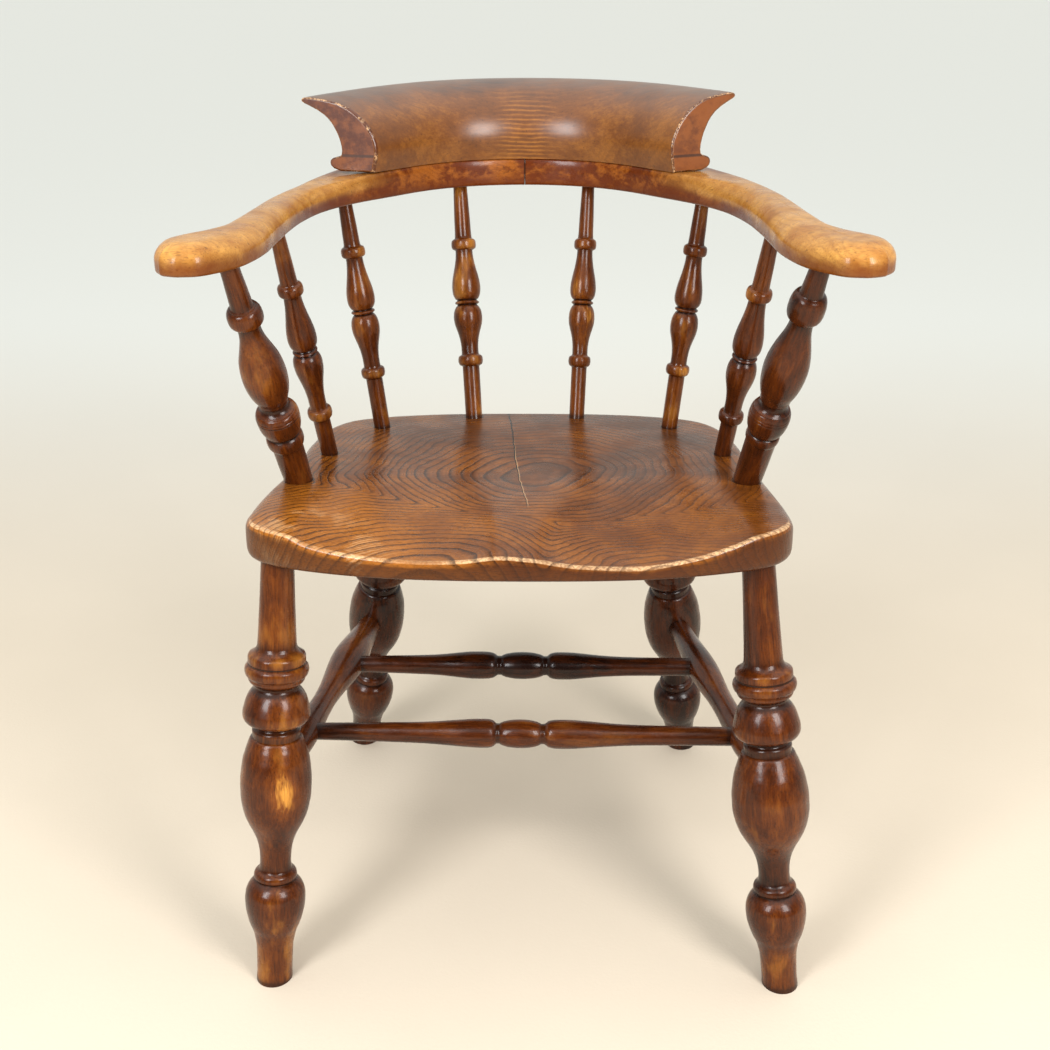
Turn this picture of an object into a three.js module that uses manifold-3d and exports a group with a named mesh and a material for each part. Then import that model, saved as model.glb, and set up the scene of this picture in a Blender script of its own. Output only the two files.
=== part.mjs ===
// A captain's chair in elm and ash: a saddled plank seat on four turned legs, and a sawn bow
// on turned spindles that is both arms and back, with a scooped crest rail on top of it.
// Millimetres, +Z up. The chair faces -Y, and "left" is the -X side.

import * as THREE from 'three';
import { mergeVertices } from 'three/addons/utils/BufferGeometryUtils.js';
import Module from 'manifold-3d';

const wasm = await Module();
wasm.setup();

// Seat: a plank that falls a little towards the back
const SEAT_WIDTH = 500;
const SEAT_DEPTH = 431;
const SEAT_THICKNESS = 34.5;
const SEAT_HEIGHT = 440;
const SEAT_TILT = 0.05; // radians
const SEAT_DISH_DEPTH = 10;
const SEAT_HOLLOW_DEPTH_LEFT = 17;
const SEAT_HOLLOW_DEPTH_RIGHT = 21;

// Bow: two sawn halves that meet behind the sitter, with a hand at each front end
const BOW_WIDTH = 606;
const BOW_DEPTH = 507;
const BOW_THICKNESS = 28;
const ARM_THICKNESS_LEFT = 23.5;
const ARM_THICKNESS_RIGHT = 24;
const BOW_HEIGHT = 679;
const BOW_SETBACK = 11;
const HAND_DROP = 2;

// Crest rail, standing on the back of the bow
const CREST_REACH = 68;
const CREST_HEIGHT_MIDDLE = 80;
const CREST_HEIGHT_LEFT = 73;
const CREST_HEIGHT_RIGHT = 77;
const CREST_SKEW_LEFT = 0.45; // radians
const CREST_SKEW_RIGHT = 0.26; // radians

// Legs, turned to one pattern
const LEG_DIAMETER = 66;
const LEG_VASE_DIAMETER_FRONT_RIGHT = 72;
const LEG_VASE_DIAMETER_BACK_LEFT = 64;
const FRONT_LEG_SPLAY_LEFT = 20;
const FRONT_LEG_SPLAY_RIGHT = 36;
const FRONT_LEG_RAKE_LEFT = 60.5;
const FRONT_LEG_RAKE_RIGHT = 67;
const BACK_LEG_SPLAY_LEFT = 54.5;
const BACK_LEG_SPLAY_RIGHT = 44.5;
const BACK_LEG_RAKE_LEFT = 88.5;
const BACK_LEG_RAKE_RIGHT = 78.5;
const LEG_TENON = 20;

// Stretchers: one along each side, and two across between them
const SIDE_STRETCHER_DIAMETER_LEFT = 37.5;
const SIDE_STRETCHER_DIAMETER_RIGHT = 31.5;
const CROSS_STRETCHER_DIAMETER_FRONT = 28.5;
const CROSS_STRETCHER_DIAMETER_BACK = 29.7;
const SIDE_STRETCHER_TENON = 20;
const CROSS_STRETCHER_TENON = 11;

// Uprights between the seat and the bow
const ARM_POST_DIAMETER = 41;
const SEAT_SOCKET_DEPTH = 19;
const BOW_SOCKET_DEPTH = 17;

// Hidden fastenings: dowels across the butt joint, screws up into the crest rail
const DOWEL_DIAMETER = 9;
const DOWEL_LENGTH = 50;
const SCREW_LENGTH = 46;
const SCREW_SHANK_DIAMETER = 5;
const SCREW_HEAD_DIAMETER = 10;
const SCREW_HEAD_HEIGHT = 4;
const SCREW_RECESS = 0.5;

// Fits
const FIT_GAP = 0.3;
const CUT_OVERRUN = 12;

// Facets
const LEG_SIDES = 14;
const UPRIGHT_SIDES = 12;
const STRETCHER_SIDES = 12;
const FASTENER_SIDES = 10;
const SEAT_OUTLINE_STEPS = 60;
const BOW_STEPS_PER_STATION = 2;
const CREST_STEPS = 22;

const LEFT = -1;
const RIGHT = 1;

// The seat's outline, front to back: shares of half the width and of the depth
const SEAT_FRONT_SHARES = [[0.25, 0.004], [0.48, 0.016], [0.7, 0.042], [0.85, 0.072]];
const SEAT_CORNER_LEFT_SHARES = [
  [0.93, 0.1], [0.978, 0.133], [1, 0.178], [1, 0.235], [0.984, 0.335], [0.95, 0.46],
];
const SEAT_CORNER_RIGHT_SHARES = [
  [0.92, 0.102], [0.96, 0.14], [0.975, 0.187], [0.975, 0.24], [0.963, 0.33], [0.941, 0.46],
];
const SEAT_BACK_SHARES = [
  [0.925, 0.58], [0.912, 0.72], [0.865, 0.855], [0.79, 0.92], [0.66, 0.958], [0.4, 0.99],
];

// Seat edge, underside to top: shares of the local thickness and of the full thickness
const SEAT_EDGE_SHARES = [
  [0, 0.13], [0.14, 0.03], [0.36, 0], [0.76, 0], [0.92, 0.05], [1, 0.14],
];

// Rings of the seat's top, outermost first: shares of the way out from the middle
const SEAT_TOP_RING_SHARES = [0.91, 0.8, 0.68, 0.55, 0.41, 0.27, 0.12];

// Places and spreads of the seat's hollows: shares of half the width and of half the depth
const SEAT_DISH_SPREAD_SHARES = [0.86, 0.82];
const SEAT_HOLLOW_PLACE_SHARES = [0.37, -0.86];
const SEAT_HOLLOW_SPREAD_SHARES = [0.3, 0.62];

// Stations of the bow from the middle of the back to the hand: x and y of the inner edge,
// then of the outer edge, as shares of half the width and of the depth behind the hand.
// Elsewhere a place along the bow is a share of the way over these stations.
const BOW_STATION_SHARES = [
  [0, 0.899, 0, 1],
  [0.182, 0.879, 0.224, 0.982],
  [0.33, 0.823, 0.429, 0.93],
  [0.462, 0.732, 0.594, 0.843],
  [0.568, 0.653, 0.746, 0.716],
  [0.647, 0.565, 0.792, 0.605],
  [0.69, 0.458, 0.83, 0.478],
  [0.706, 0.353, 0.85, 0.363],
  [0.712, 0.254, 0.868, 0.274],
  [0.716, 0.175, 0.891, 0.208],
  [0.736, 0.115, 0.934, 0.173],
  [0.766, 0.069, 0.977, 0.141],
  [0.809, 0.03, 1, 0.093],
  [0.851, 0.006, 0.99, 0.042],
  [0.904, 0, 0.957, 0.012],
];

// Bow edge, underside to top: share of the thickness, then how far the edge draws in towards
// the spine at the arms and under the crest rail, as shares of the way
const BOW_EDGE_SHARES = [
  [0, 0.05, 0.07], [0.08, 0, 0], [0.44, 0, 0], [0.66, 0.09, 0],
  [0.84, 0.29, 0.01], [0.94, 0.54, 0.03], [1, 0.88, 0.1],
];

// Where along the bow its square back section becomes the rounded arm
const BOW_INNER_ROUNDING_SHARES = [0.265, 0.43];
const BOW_OUTER_ROUNDING_SHARES = [0.2, 0.3];

// Where along the bow each half thins to its hand, and where the left one narrows
const THINNING_LEFT_SHARES = [0.185, 0.37];
const THINNING_RIGHT_SHARES = [0.39, 0.785];
const NARROWING_LEFT_SHARES = [0.215, 0.355];
const NARROW_WIDTH_LEFT_SHARE = 0.9;

// Where the bow's spine stops, short of the ends of the hands
const BOW_SPINE_END_SHARE = 0.83;

// Where the hands' undersides come down and their edges grow squarer, and how round those stay
const HAND_DROP_SHARES = [0.6, 0.8];
const HAND_SQUARING_SHARES = [0.72, 0.9];
const HAND_ROUNDING_SHARE = 0.78;

// Crest rail's section, from its foot up the back and down the front: shares of its reach
// outwards and of its height
const CREST_SECTION_SHARES = [
  [0, 0], [0.47, 0], [0.575, 0.037], [0.625, 0.118], [0.6, 0.18], [0.46, 0.215],
  [0.445, 0.285], [0.467, 0.42], [0.525, 0.565], [0.61, 0.7], [0.76, 0.815], [0.975, 0.92],
  [1, 0.97], [0.92, 1], [0.69, 0.975], [0.47, 0.93], [0.32, 0.86], [0.175, 0.755],
  [0.06, 0.62], [-0.015, 0.48], [-0.055, 0.33], [-0.035, 0.16],
];
const CREST_END_LEFT_SHARE = 0.2465;
const CREST_END_RIGHT_SHARE = 0.243;
const CREST_SKEW_START_SHARE = 0.6;

// Turned patterns from the bottom up: shares of the length and of the piece's diameter
const LEG_PATTERN_SHARES = [
  [0, 0.518], [0.03, 0.505], [0.082, 0.527], [0.122, 0.623], [0.145, 0.735], [0.172, 0.825],
  [0.203, 0.859], [0.233, 0.82], [0.263, 0.64], [0.293, 0.438], [0.332, 0.477],
  [0.362, 0.6], [0.391, 0.773], [0.43, 0.936], [0.46, 0.988], [0.488, 1], [0.52, 0.975],
  [0.56, 0.873], [0.593, 0.73], [0.6, 0.675], [0.614, 0.675], [0.621, 0.586], [0.63, 0.795],
  [0.649, 0.94], [0.678, 0.86], [0.705, 0.7], [0.715, 0.612], [0.733, 0.78], [0.75, 0.883],
  [0.766, 0.79], [0.787, 0.786], [0.8, 0.58], [0.86, 0.508], [1, 0.447],
];
const LEG_VASE_RANGE_SHARES = [0.293, 0.6];
const LEG_VASE_FOOT_SHARE = 0.438;

// Heights of the legs' features: foot, bulb, neck, vase, upper neck, cove, bead, shoulder, top
const LEG_FEATURE_SHARES = [0, 0.203, 0.293, 0.488, 0.621, 0.715, 0.752, 0.8, 1];
const LEG_FEATURE_FRONT_RIGHT_SHARES = [0, 0.182, 0.272, 0.462, 0.592, 0.688, 0.722, 0.768, 1];
const LEG_FEATURE_BACK_RIGHT_SHARES = [0, 0.19, 0.281, 0.483, 0.617, 0.713, 0.75, 0.8, 1];

const ARM_POST_PATTERN_LEFT_SHARES = [
  [0, 0.66], [0.1, 0.695], [0.183, 0.707], [0.19, 0.768], [0.212, 0.858], [0.24, 0.82],
  [0.25, 0.761], [0.262, 0.834], [0.285, 0.927], [0.32, 0.985], [0.345, 0.985], [0.36, 0.915],
  [0.368, 0.756], [0.38, 0.595], [0.392, 0.576], [0.398, 0.683], [0.41, 0.702],
  [0.443, 0.858], [0.487, 0.971], [0.52, 1], [0.56, 0.966], [0.615, 0.827], [0.657, 0.656],
  [0.698, 0.527], [0.74, 0.498], [0.752, 0.622], [0.772, 0.766], [0.792, 0.761],
  [0.81, 0.673], [0.822, 0.502], [0.9, 0.449], [1, 0.402],
];
const ARM_POST_PATTERN_RIGHT_SHARES = [
  [0, 0.66], [0.1, 0.69], [0.214, 0.707], [0.236, 0.776], [0.25, 0.761], [0.258, 0.732],
  [0.27, 0.805], [0.293, 0.89], [0.325, 0.941], [0.35, 0.937], [0.368, 0.854], [0.376, 0.732],
  [0.386, 0.622], [0.398, 0.595], [0.41, 0.659], [0.423, 0.693], [0.455, 0.82], [0.5, 0.937],
  [0.549, 0.98], [0.59, 0.946], [0.645, 0.805], [0.69, 0.646], [0.73, 0.537], [0.762, 0.502],
  [0.771, 0.61], [0.785, 0.732], [0.81, 0.79], [0.835, 0.785], [0.86, 0.72], [0.876, 0.507],
  [0.93, 0.454], [1, 0.415],
];

const SPINDLE_PATTERN_SHARES = [
  [0, 0.581], [0.1, 0.587], [0.217, 0.59], [0.224, 0.768], [0.242, 0.863], [0.26, 0.806],
  [0.268, 0.616], [0.3, 0.597], [0.34, 0.679], [0.385, 0.889], [0.426, 1], [0.455, 0.946],
  [0.472, 0.819], [0.483, 0.679], [0.492, 0.851], [0.502, 0.686], [0.516, 0.876],
  [0.552, 0.99], [0.6, 0.895], [0.64, 0.749], [0.69, 0.61], [0.715, 0.59], [0.721, 0.794],
  [0.74, 0.857], [0.757, 0.794], [0.765, 0.603], [0.85, 0.552], [1, 0.483],
];

// Heights of the spindles' features: foot, low ring, low bulge, middle ring, high bulge,
// high ring, top. First those of the pattern, then those of each spindle.
const SPINDLE_FEATURE_SHARES = [0, 0.242, 0.426, 0.492, 0.552, 0.74, 1];
const SPINDLE_FEATURES_SHARES = {
  side_left: [0, 0.202, 0.434, 0.489, 0.548, 0.756, 1],
  side_right: [0, 0.187, 0.394, 0.462, 0.525, 0.738, 1],
  rear_left: [0, 0.25, 0.453, 0.519, 0.578, 0.776, 1],
  rear_right: [0, 0.262, 0.455, 0.527, 0.58, 0.781, 1],
  centre_left: [0, 0.245, 0.428, 0.492, 0.556, 0.74, 1],
  centre_right: [0, 0.241, 0.424, 0.492, 0.549, 0.74, 1],
};

const SIDE_STRETCHER_PATTERN_LEFT_SHARES = [
  [0, 0.659], [0.06, 0.709], [0.132, 0.76], [0.206, 0.76], [0.292, 0.667], [0.39, 0.613],
  [0.475, 0.667], [0.561, 0.8], [0.647, 0.947], [0.72, 1], [0.794, 0.933], [0.868, 0.813],
  [0.966, 0.693], [1, 0.68],
];
const SIDE_STRETCHER_PATTERN_RIGHT_SHARES = [
  [0, 0.794], [0.06, 0.851], [0.124, 0.905], [0.198, 0.889], [0.285, 0.794], [0.396, 0.756],
  [0.495, 0.835], [0.569, 0.937], [0.656, 1], [0.743, 0.952], [0.842, 0.841], [0.965, 0.762],
  [1, 0.752],
];

const CROSS_STRETCHER_PATTERN_SHARES = [
  [0, 0.596], [0.1, 0.639], [0.2, 0.695], [0.28, 0.789], [0.34, 0.923], [0.385, 1],
  [0.41, 0.982], [0.428, 0.895], [0.437, 0.702], [0.445, 0.702], [0.453, 0.825],
  [0.475, 0.947], [0.5, 0.982], [0.525, 0.947], [0.547, 0.825], [0.555, 0.702],
  [0.563, 0.702], [0.572, 0.895], [0.59, 0.982], [0.615, 1], [0.66, 0.923], [0.72, 0.789],
  [0.8, 0.695], [0.9, 0.66], [1, 0.649],
];

// Places of the cross stretchers' features: left end, swell, groove, bead, groove, swell, right end
const CROSS_STRETCHER_FEATURE_SHARES = [0, 0.385, 0.441, 0.5, 0.559, 0.615, 1];
const CROSS_STRETCHER_FEATURE_FRONT_SHARES = [0, 0.39, 0.437, 0.493, 0.548, 0.61, 1];
const CROSS_STRETCHER_FEATURE_BACK_SHARES = [0, 0.342, 0.422, 0.493, 0.564, 0.631, 1];

// Where the legs stand in the seat: shares of half its width and of its depth
const LEG_PLACE_FRONT_LEFT_SHARES = [0.876, 0.132];
const LEG_PLACE_FRONT_RIGHT_SHARES = [0.842, 0.132];
const LEG_PLACE_BACK_LEFT_SHARES = [0.583, 0.78];
const LEG_PLACE_BACK_RIGHT_SHARES = [0.6, 0.78];

// Where the stretchers join: share up the legs, and shares back along the side stretchers
const SIDE_STRETCHER_JOIN_SHARE = 0.488;
const FRONT_CROSS_JOIN_SHARES = [0.249, 0.235];
const BACK_CROSS_JOIN_SHARES = [0.649, 0.645];

// Uprights: where they stand in the seat, then where along and across the bow they end
const ARM_POST_PLACES = {
  left: { seatShares: [0.872, 0.414], bowShare: 0.757, acrossShare: 0.285 },
  right: { seatShares: [0.8665, 0.414], bowShare: 0.757, acrossShare: 0.32 },
};
const SPINDLE_PLACES = {
  side_left: { seatShares: [0.8, 0.615], bowShare: 0.486, acrossShare: 0.38 },
  side_right: { seatShares: [0.817, 0.615], bowShare: 0.486, acrossShare: 0.4 },
  rear_left: { seatShares: [0.625, 0.847], bowShare: 0.261, acrossShare: 0.52 },
  rear_right: { seatShares: [0.6365, 0.847], bowShare: 0.257, acrossShare: 0.52 },
  centre_left: { seatShares: [0.228, 0.944], bowShare: 0.0846, acrossShare: 0.52 },
  centre_right: { seatShares: [0.2353, 0.944], bowShare: 0.0825, acrossShare: 0.52 },
};
const SPINDLE_KINDS = ['side', 'rear', 'centre'];
const SPINDLE_DIAMETERS = {
  side_left: 29, rear_left: 30, centre_left: 32, side_right: 29.5, rear_right: 29.5, centre_right: 29,
};

// Fastenings: across the bow, along it, and out from its inner edge under the crest rail
const DOWEL_ACROSS_SHARES = [0.3, 0.72];
const SCREW_BOW_SHARES = [-0.193, -0.05, 0.05, 0.193];
const SCREW_REACH_SHARE = 0.23;

// Materials
function wood(color, roughness) {
  return new THREE.MeshStandardMaterial({ color, roughness, metalness: 0 });
}

function seatElm() {
  return wood(0x7d4a24, 0.42);
}

function armElm() {
  return wood(0x9c6230, 0.45);
}

function crestElm() {
  return wood(0x6f3f1f, 0.35);
}

function turnedAsh() {
  return wood(0x4f2412, 0.35);
}

function beech() {
  return wood(0xb08a5c, 0.7);
}

function steel() {
  return new THREE.MeshStandardMaterial({ color: 0x8a8680, roughness: 0.5, metalness: 1 });
}

// Solids: conversion to and from the boolean library
function toSolid(geometry, matrix = new THREE.Matrix4()) {
  const bare = geometry.clone();
  bare.deleteAttribute('normal');
  bare.deleteAttribute('uv');
  bare.applyMatrix4(matrix);
  const merged = mergeVertices(bare);
  return new wasm.Manifold(new wasm.Mesh({
    numProp: 3,
    vertProperties: Float32Array.from(merged.attributes.position.array),
    triVerts: Uint32Array.from(merged.index.array),
  }));
}

function toGeometry(solid) {
  const mesh = solid.getMesh();
  const geometry = new THREE.BufferGeometry();
  geometry.setAttribute('position', new THREE.BufferAttribute(mesh.vertProperties, 3));
  geometry.setIndex(new THREE.BufferAttribute(mesh.triVerts, 1));
  geometry.computeVertexNormals();
  return geometry;
}

// Cuts a tool that stands in another mesh's frame out of the target mesh
function cutFrom(target, toolGeometry, toolMesh) {
  target.updateMatrixWorld(true);
  toolMesh.updateMatrixWorld(true);
  const intoTarget = target.matrixWorld.clone().invert().multiply(toolMesh.matrixWorld);
  const body = toSolid(target.geometry);
  target.geometry = toGeometry(body.subtract(toSolid(toolGeometry, intoTarget)));
}

// A closed skin over rings with equal numbers of points, with a flat cap at each end
function loft(rings, capOutline) {
  const count = rings[0].length;
  const positions = rings.flat().flatMap((point) => point.toArray());
  const index = [];
  for (let ring = 0; ring < rings.length - 1; ring += 1) {
    for (let side = 0; side < count; side += 1) {
      const next = (side + 1) % count;
      const a = ring * count + side;
      const b = ring * count + next;
      index.push(a, b, b + count, a, b + count, a + count);
    }
  }
  const last = (rings.length - 1) * count;
  for (const [i, j, k] of THREE.ShapeUtils.triangulateShape(capOutline, [])) {
    index.push(k, j, i, last + i, last + j, last + k);
  }
  const geometry = new THREE.BufferGeometry();
  geometry.setAttribute('position', new THREE.Float32BufferAttribute(positions, 3));
  geometry.setIndex(index);
  geometry.computeVertexNormals();
  return geometry;
}

// A turned solid about its own Z axis, from rows of radius and height
function turn(rows, sides) {
  const points = [[0, rows[0][1]], ...rows, [0, rows.at(-1)[1]]];
  const geometry = new THREE.LatheGeometry(points.map((row) => new THREE.Vector2(...row)), sides);
  return geometry.rotateX(Math.PI / 2);
}

// Rows of a turned piece: its pattern between two surfaces, and straight ends beyond them
function turnedRows(patternShares, length, diameter, startDepth, endDepth) {
  const rows = patternShares.map(([along, across]) => [across * diameter / 2, along * length]);
  const first = rows[0];
  const last = rows.at(-1);
  return [[first[0], first[1] - startDepth], ...rows, [last[0], last[1] + endDepth]];
}

// A value on a row of pairs, between the two that it falls among
function valueAt(pairs, along) {
  const next = Math.max(1, pairs.findIndex(([place]) => place >= along));
  const [[startPlace, startValue], [endPlace, endValue]] = [pairs[next - 1], pairs[next]];
  return THREE.MathUtils.mapLinear(along, startPlace, endPlace, startValue, endValue);
}

// A pattern whose features are moved along it
function moveFeatures(patternShares, fromShares, toShares) {
  const pairs = fromShares.map((share, i) => [share, toShares[i]]);
  return patternShares.map(([along, across]) => [valueAt(pairs, along), across]);
}

// Stands a mesh on a point with its Z axis towards another
function standBetween(mesh, from, to) {
  const direction = to.clone().sub(from).normalize();
  mesh.position.copy(from);
  mesh.quaternion.setFromUnitVectors(new THREE.Vector3(0, 0, 1), direction);
  return mesh;
}

function namedMesh(name, geometry, material) {
  const mesh = new THREE.Mesh(geometry, material);
  mesh.name = name;
  return mesh;
}

// Bores a clear socket for one end of a turned piece into what holds it
function boreSocket(target, piece, end) {
  const { radius, bottom, mouth } = piece.userData[end];
  const rows = [bottom, mouth].sort((a, b) => a - b).map((height) => [radius + FIT_GAP, height]);
  cutFrom(target, turn(rows, piece.userData.sides), piece);
}

// A turned piece between two points, whose ends run straight on into their sockets
function turnedPiece(name, material, sides, patternShares, diameter, from, to, depths) {
  const length = from.distanceTo(to);
  const rows = turnedRows(patternShares, length, diameter, depths[0], depths[1]);
  const mesh = standBetween(namedMesh(name, turn(rows, sides), material), from, to);
  mesh.userData = {
    sides,
    start: { radius: rows[0][0], bottom: -depths[0] - FIT_GAP, mouth: CUT_OVERRUN },
    end: {
      radius: rows.at(-1)[0],
      bottom: length + depths[1] + FIT_GAP,
      mouth: length - CUT_OVERRUN,
    },
  };
  return mesh;
}

// Seat
function seatMatrix() {
  const tilt = new THREE.Matrix4().makeRotationX(-SEAT_TILT);
  return tilt.setPosition(0, 0, SEAT_HEIGHT);
}

function seatPlan([xShare, yShare]) {
  return new THREE.Vector2(xShare * SEAT_WIDTH / 2, (yShare - 1 / 2) * SEAT_DEPTH);
}

function hill(x, y, spreadX, spreadY) {
  const distance = Math.hypot(x / spreadX, y / spreadY);
  return distance < 1 ? (1 + Math.cos(Math.PI * distance)) / 2 : 0;
}

// How far the saddled top lies below the plank's own surface
function seatSinkage(x, y) {
  const halfWidth = SEAT_WIDTH / 2;
  const halfDepth = SEAT_DEPTH / 2;
  const dish = SEAT_DISH_DEPTH * hill(
    x, y, SEAT_DISH_SPREAD_SHARES[0] * halfWidth, SEAT_DISH_SPREAD_SHARES[1] * halfDepth,
  );
  const hollow = (side, depth) => depth * hill(
    x - side * SEAT_HOLLOW_PLACE_SHARES[0] * halfWidth,
    y - SEAT_HOLLOW_PLACE_SHARES[1] * halfDepth,
    SEAT_HOLLOW_SPREAD_SHARES[0] * SEAT_WIDTH,
    SEAT_HOLLOW_SPREAD_SHARES[1] * halfDepth,
  );
  const hollows = Math.hypot(
    hollow(LEFT, SEAT_HOLLOW_DEPTH_LEFT),
    hollow(RIGHT, SEAT_HOLLOW_DEPTH_RIGHT),
  );
  return dish + hollows;
}

function seatOutline() {
  const half = (side, corner) => [...SEAT_FRONT_SHARES, ...corner, ...SEAT_BACK_SHARES]
    .map(([xShare, yShare]) => [side * xShare, yShare]);
  const right = half(RIGHT, SEAT_CORNER_RIGHT_SHARES);
  const left = half(LEFT, SEAT_CORNER_LEFT_SHARES).reverse();
  const loop = [[0, 0], ...right, [0, 1], ...left].map(seatPlan)
    .map((point) => new THREE.Vector3(point.x, point.y, 0));
  const curve = new THREE.CatmullRomCurve3(loop, true, 'centripetal');
  return curve.getSpacedPoints(SEAT_OUTLINE_STEPS).slice(0, -1);
}

function inwardNormals(outline) {
  return outline.map((point, i) => {
    const before = outline.at(i - 1);
    const after = outline[(i + 1) % outline.length];
    return new THREE.Vector3(before.y - after.y, after.x - before.x, 0).normalize();
  });
}

function makeSeat() {
  const outline = seatOutline();
  const inwards = inwardNormals(outline);
  const ringAt = (heightShare, place) => outline.map((point, i) => {
    const { x, y } = place(point, i);
    const top = -seatSinkage(x, y);
    return new THREE.Vector3(x, y, -SEAT_THICKNESS + heightShare * (top + SEAT_THICKNESS));
  });
  const edgeRings = SEAT_EDGE_SHARES.map(([heightShare, insetShare]) => ringAt(
    heightShare,
    (point, i) => point.clone().addScaledVector(inwards[i], insetShare * SEAT_THICKNESS),
  ));
  const rim = edgeRings.at(-1);
  const topRings = SEAT_TOP_RING_SHARES.map((share) => ringAt(
    1,
    (point, i) => rim[i].clone().multiplyScalar(share),
  ));
  const cap = outline.map((point) => new THREE.Vector2(point.x, point.y));
  const mesh = namedMesh('seat', loft([...edgeRings, ...topRings], cap), seatElm());
  mesh.applyMatrix4(seatMatrix());
  return mesh;
}

// A point on the seat's top (height 0) or underside in the chair's frame
function onSeat(side, placeShares, height) {
  const plan = seatPlan(placeShares);
  const sunk = height === 0 ? seatSinkage(side * plan.x, plan.y) : 0;
  return new THREE.Vector3(side * plan.x, plan.y, height - sunk).applyMatrix4(seatMatrix());
}

// Bow
function bowCurve(xColumn, yColumn) {
  const front = -SEAT_DEPTH / 2 + BOW_SETBACK;
  const right = BOW_STATION_SHARES.map((row) => new THREE.Vector3(
    row[xColumn] * BOW_WIDTH / 2,
    front + row[yColumn] * BOW_DEPTH,
    0,
  ));
  const left = right.slice(1).reverse().map((point) => new THREE.Vector3(-point.x, point.y, 0));
  return new THREE.CatmullRomCurve3([...left, ...right], false, 'centripetal');
}

const bowInnerCurve = bowCurve(0, 1);
const bowOuterCurve = bowCurve(2, 3);

// Places on the bow's edges, by the share of the way from the middle to the right hand (0 to 1)
// or to the left hand (0 to -1)
function bowInner(bowShare) {
  return bowInnerCurve.getPoint((1 + bowShare) / 2);
}

function bowOuter(bowShare) {
  const narrowing = THREE.MathUtils.smoothstep(-bowShare, ...NARROWING_LEFT_SHARES);
  const widthShare = THREE.MathUtils.lerp(1, NARROW_WIDTH_LEFT_SHARE, narrowing);
  return bowInner(bowShare).lerp(bowOuterCurve.getPoint((1 + bowShare) / 2), widthShare);
}

function bowOutwards(bowShare) {
  const tangent = bowInnerCurve.getTangent((1 + bowShare) / 2);
  return new THREE.Vector3(-tangent.y, tangent.x, 0);
}

function bowThickness(bowShare) {
  const left = bowShare < 0;
  const range = left ? THINNING_LEFT_SHARES : THINNING_RIGHT_SHARES;
  const thinning = THREE.MathUtils.smoothstep(Math.abs(bowShare), ...range);
  const armThickness = left ? ARM_THICKNESS_LEFT : ARM_THICKNESS_RIGHT;
  return THREE.MathUtils.lerp(BOW_THICKNESS, armThickness, thinning);
}

// A point across the bow, at a height above the floor
function onBow(bowShare, acrossShare, height) {
  return bowInner(bowShare).lerp(bowOuter(bowShare), acrossShare).setZ(height);
}

function bowSpine(bowShare) {
  const inside = THREE.MathUtils.clamp(bowShare, -BOW_SPINE_END_SHARE, BOW_SPINE_END_SHARE);
  return bowInner(inside).lerp(bowOuter(inside), 1 / 2);
}

function bowShares() {
  const count = (BOW_STATION_SHARES.length - 1) * BOW_STEPS_PER_STATION;
  return Array.from({ length: 2 * count + 1 }, (_, i) => i / count - 1);
}

function bowRounding(bowShare, roundingShares) {
  const along = Math.abs(bowShare);
  const squaring = THREE.MathUtils.smoothstep(along, ...HAND_SQUARING_SHARES);
  const fullest = THREE.MathUtils.lerp(1, HAND_ROUNDING_SHARE, squaring);
  return fullest * THREE.MathUtils.smoothstep(along, ...roundingShares);
}

function bowRim(shares, edge, roundingShares) {
  return shares.map((bowShare) => ({
    edge: edge(bowShare),
    spine: bowSpine(bowShare),
    underside: -HAND_DROP * THREE.MathUtils.smoothstep(Math.abs(bowShare), ...HAND_DROP_SHARES),
    top: bowThickness(bowShare),
    rounding: bowRounding(bowShare, roundingShares),
  }));
}

function makeWholeBow() {
  const shares = bowShares();
  const rim = [
    ...bowRim(shares, bowInner, BOW_INNER_ROUNDING_SHARES),
    ...bowRim(shares.slice().reverse(), bowOuter, BOW_OUTER_ROUNDING_SHARES),
  ];
  const rings = BOW_EDGE_SHARES.map(([heightShare, armShare, backShare]) => (
    rim.map(({ edge, spine, underside, top, rounding }) => {
      const inShare = THREE.MathUtils.lerp(backShare, armShare, rounding);
      const height = THREE.MathUtils.lerp(underside, top, heightShare);
      return edge.clone().lerp(spine, inShare).setZ(height);
    })
  ));
  return loft(rings, rim.map(({ edge }) => new THREE.Vector2(edge.x, edge.y)));
}

// One half of the bow, sawn off square at the middle of the back
function makeArm(name, side, wholeBow) {
  const block = new THREE.BoxGeometry(BOW_WIDTH, BOW_DEPTH * 2, BOW_THICKNESS * 2);
  const shift = side * (BOW_WIDTH + FIT_GAP) / 2;
  const place = new THREE.Matrix4().makeTranslation(shift, 0, 0);
  const geometry = toGeometry(toSolid(wholeBow).intersect(toSolid(block, place)));
  const mesh = namedMesh(name, geometry, armElm());
  mesh.position.z = BOW_HEIGHT;
  return mesh;
}

// Crest rail, which may end differently at each side
function crestEnd(bowShare) {
  if (bowShare < 0) {
    return { share: CREST_END_LEFT_SHARE, height: CREST_HEIGHT_LEFT, skew: CREST_SKEW_LEFT };
  }
  return { share: CREST_END_RIGHT_SHARE, height: CREST_HEIGHT_RIGHT, skew: CREST_SKEW_RIGHT };
}

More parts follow.
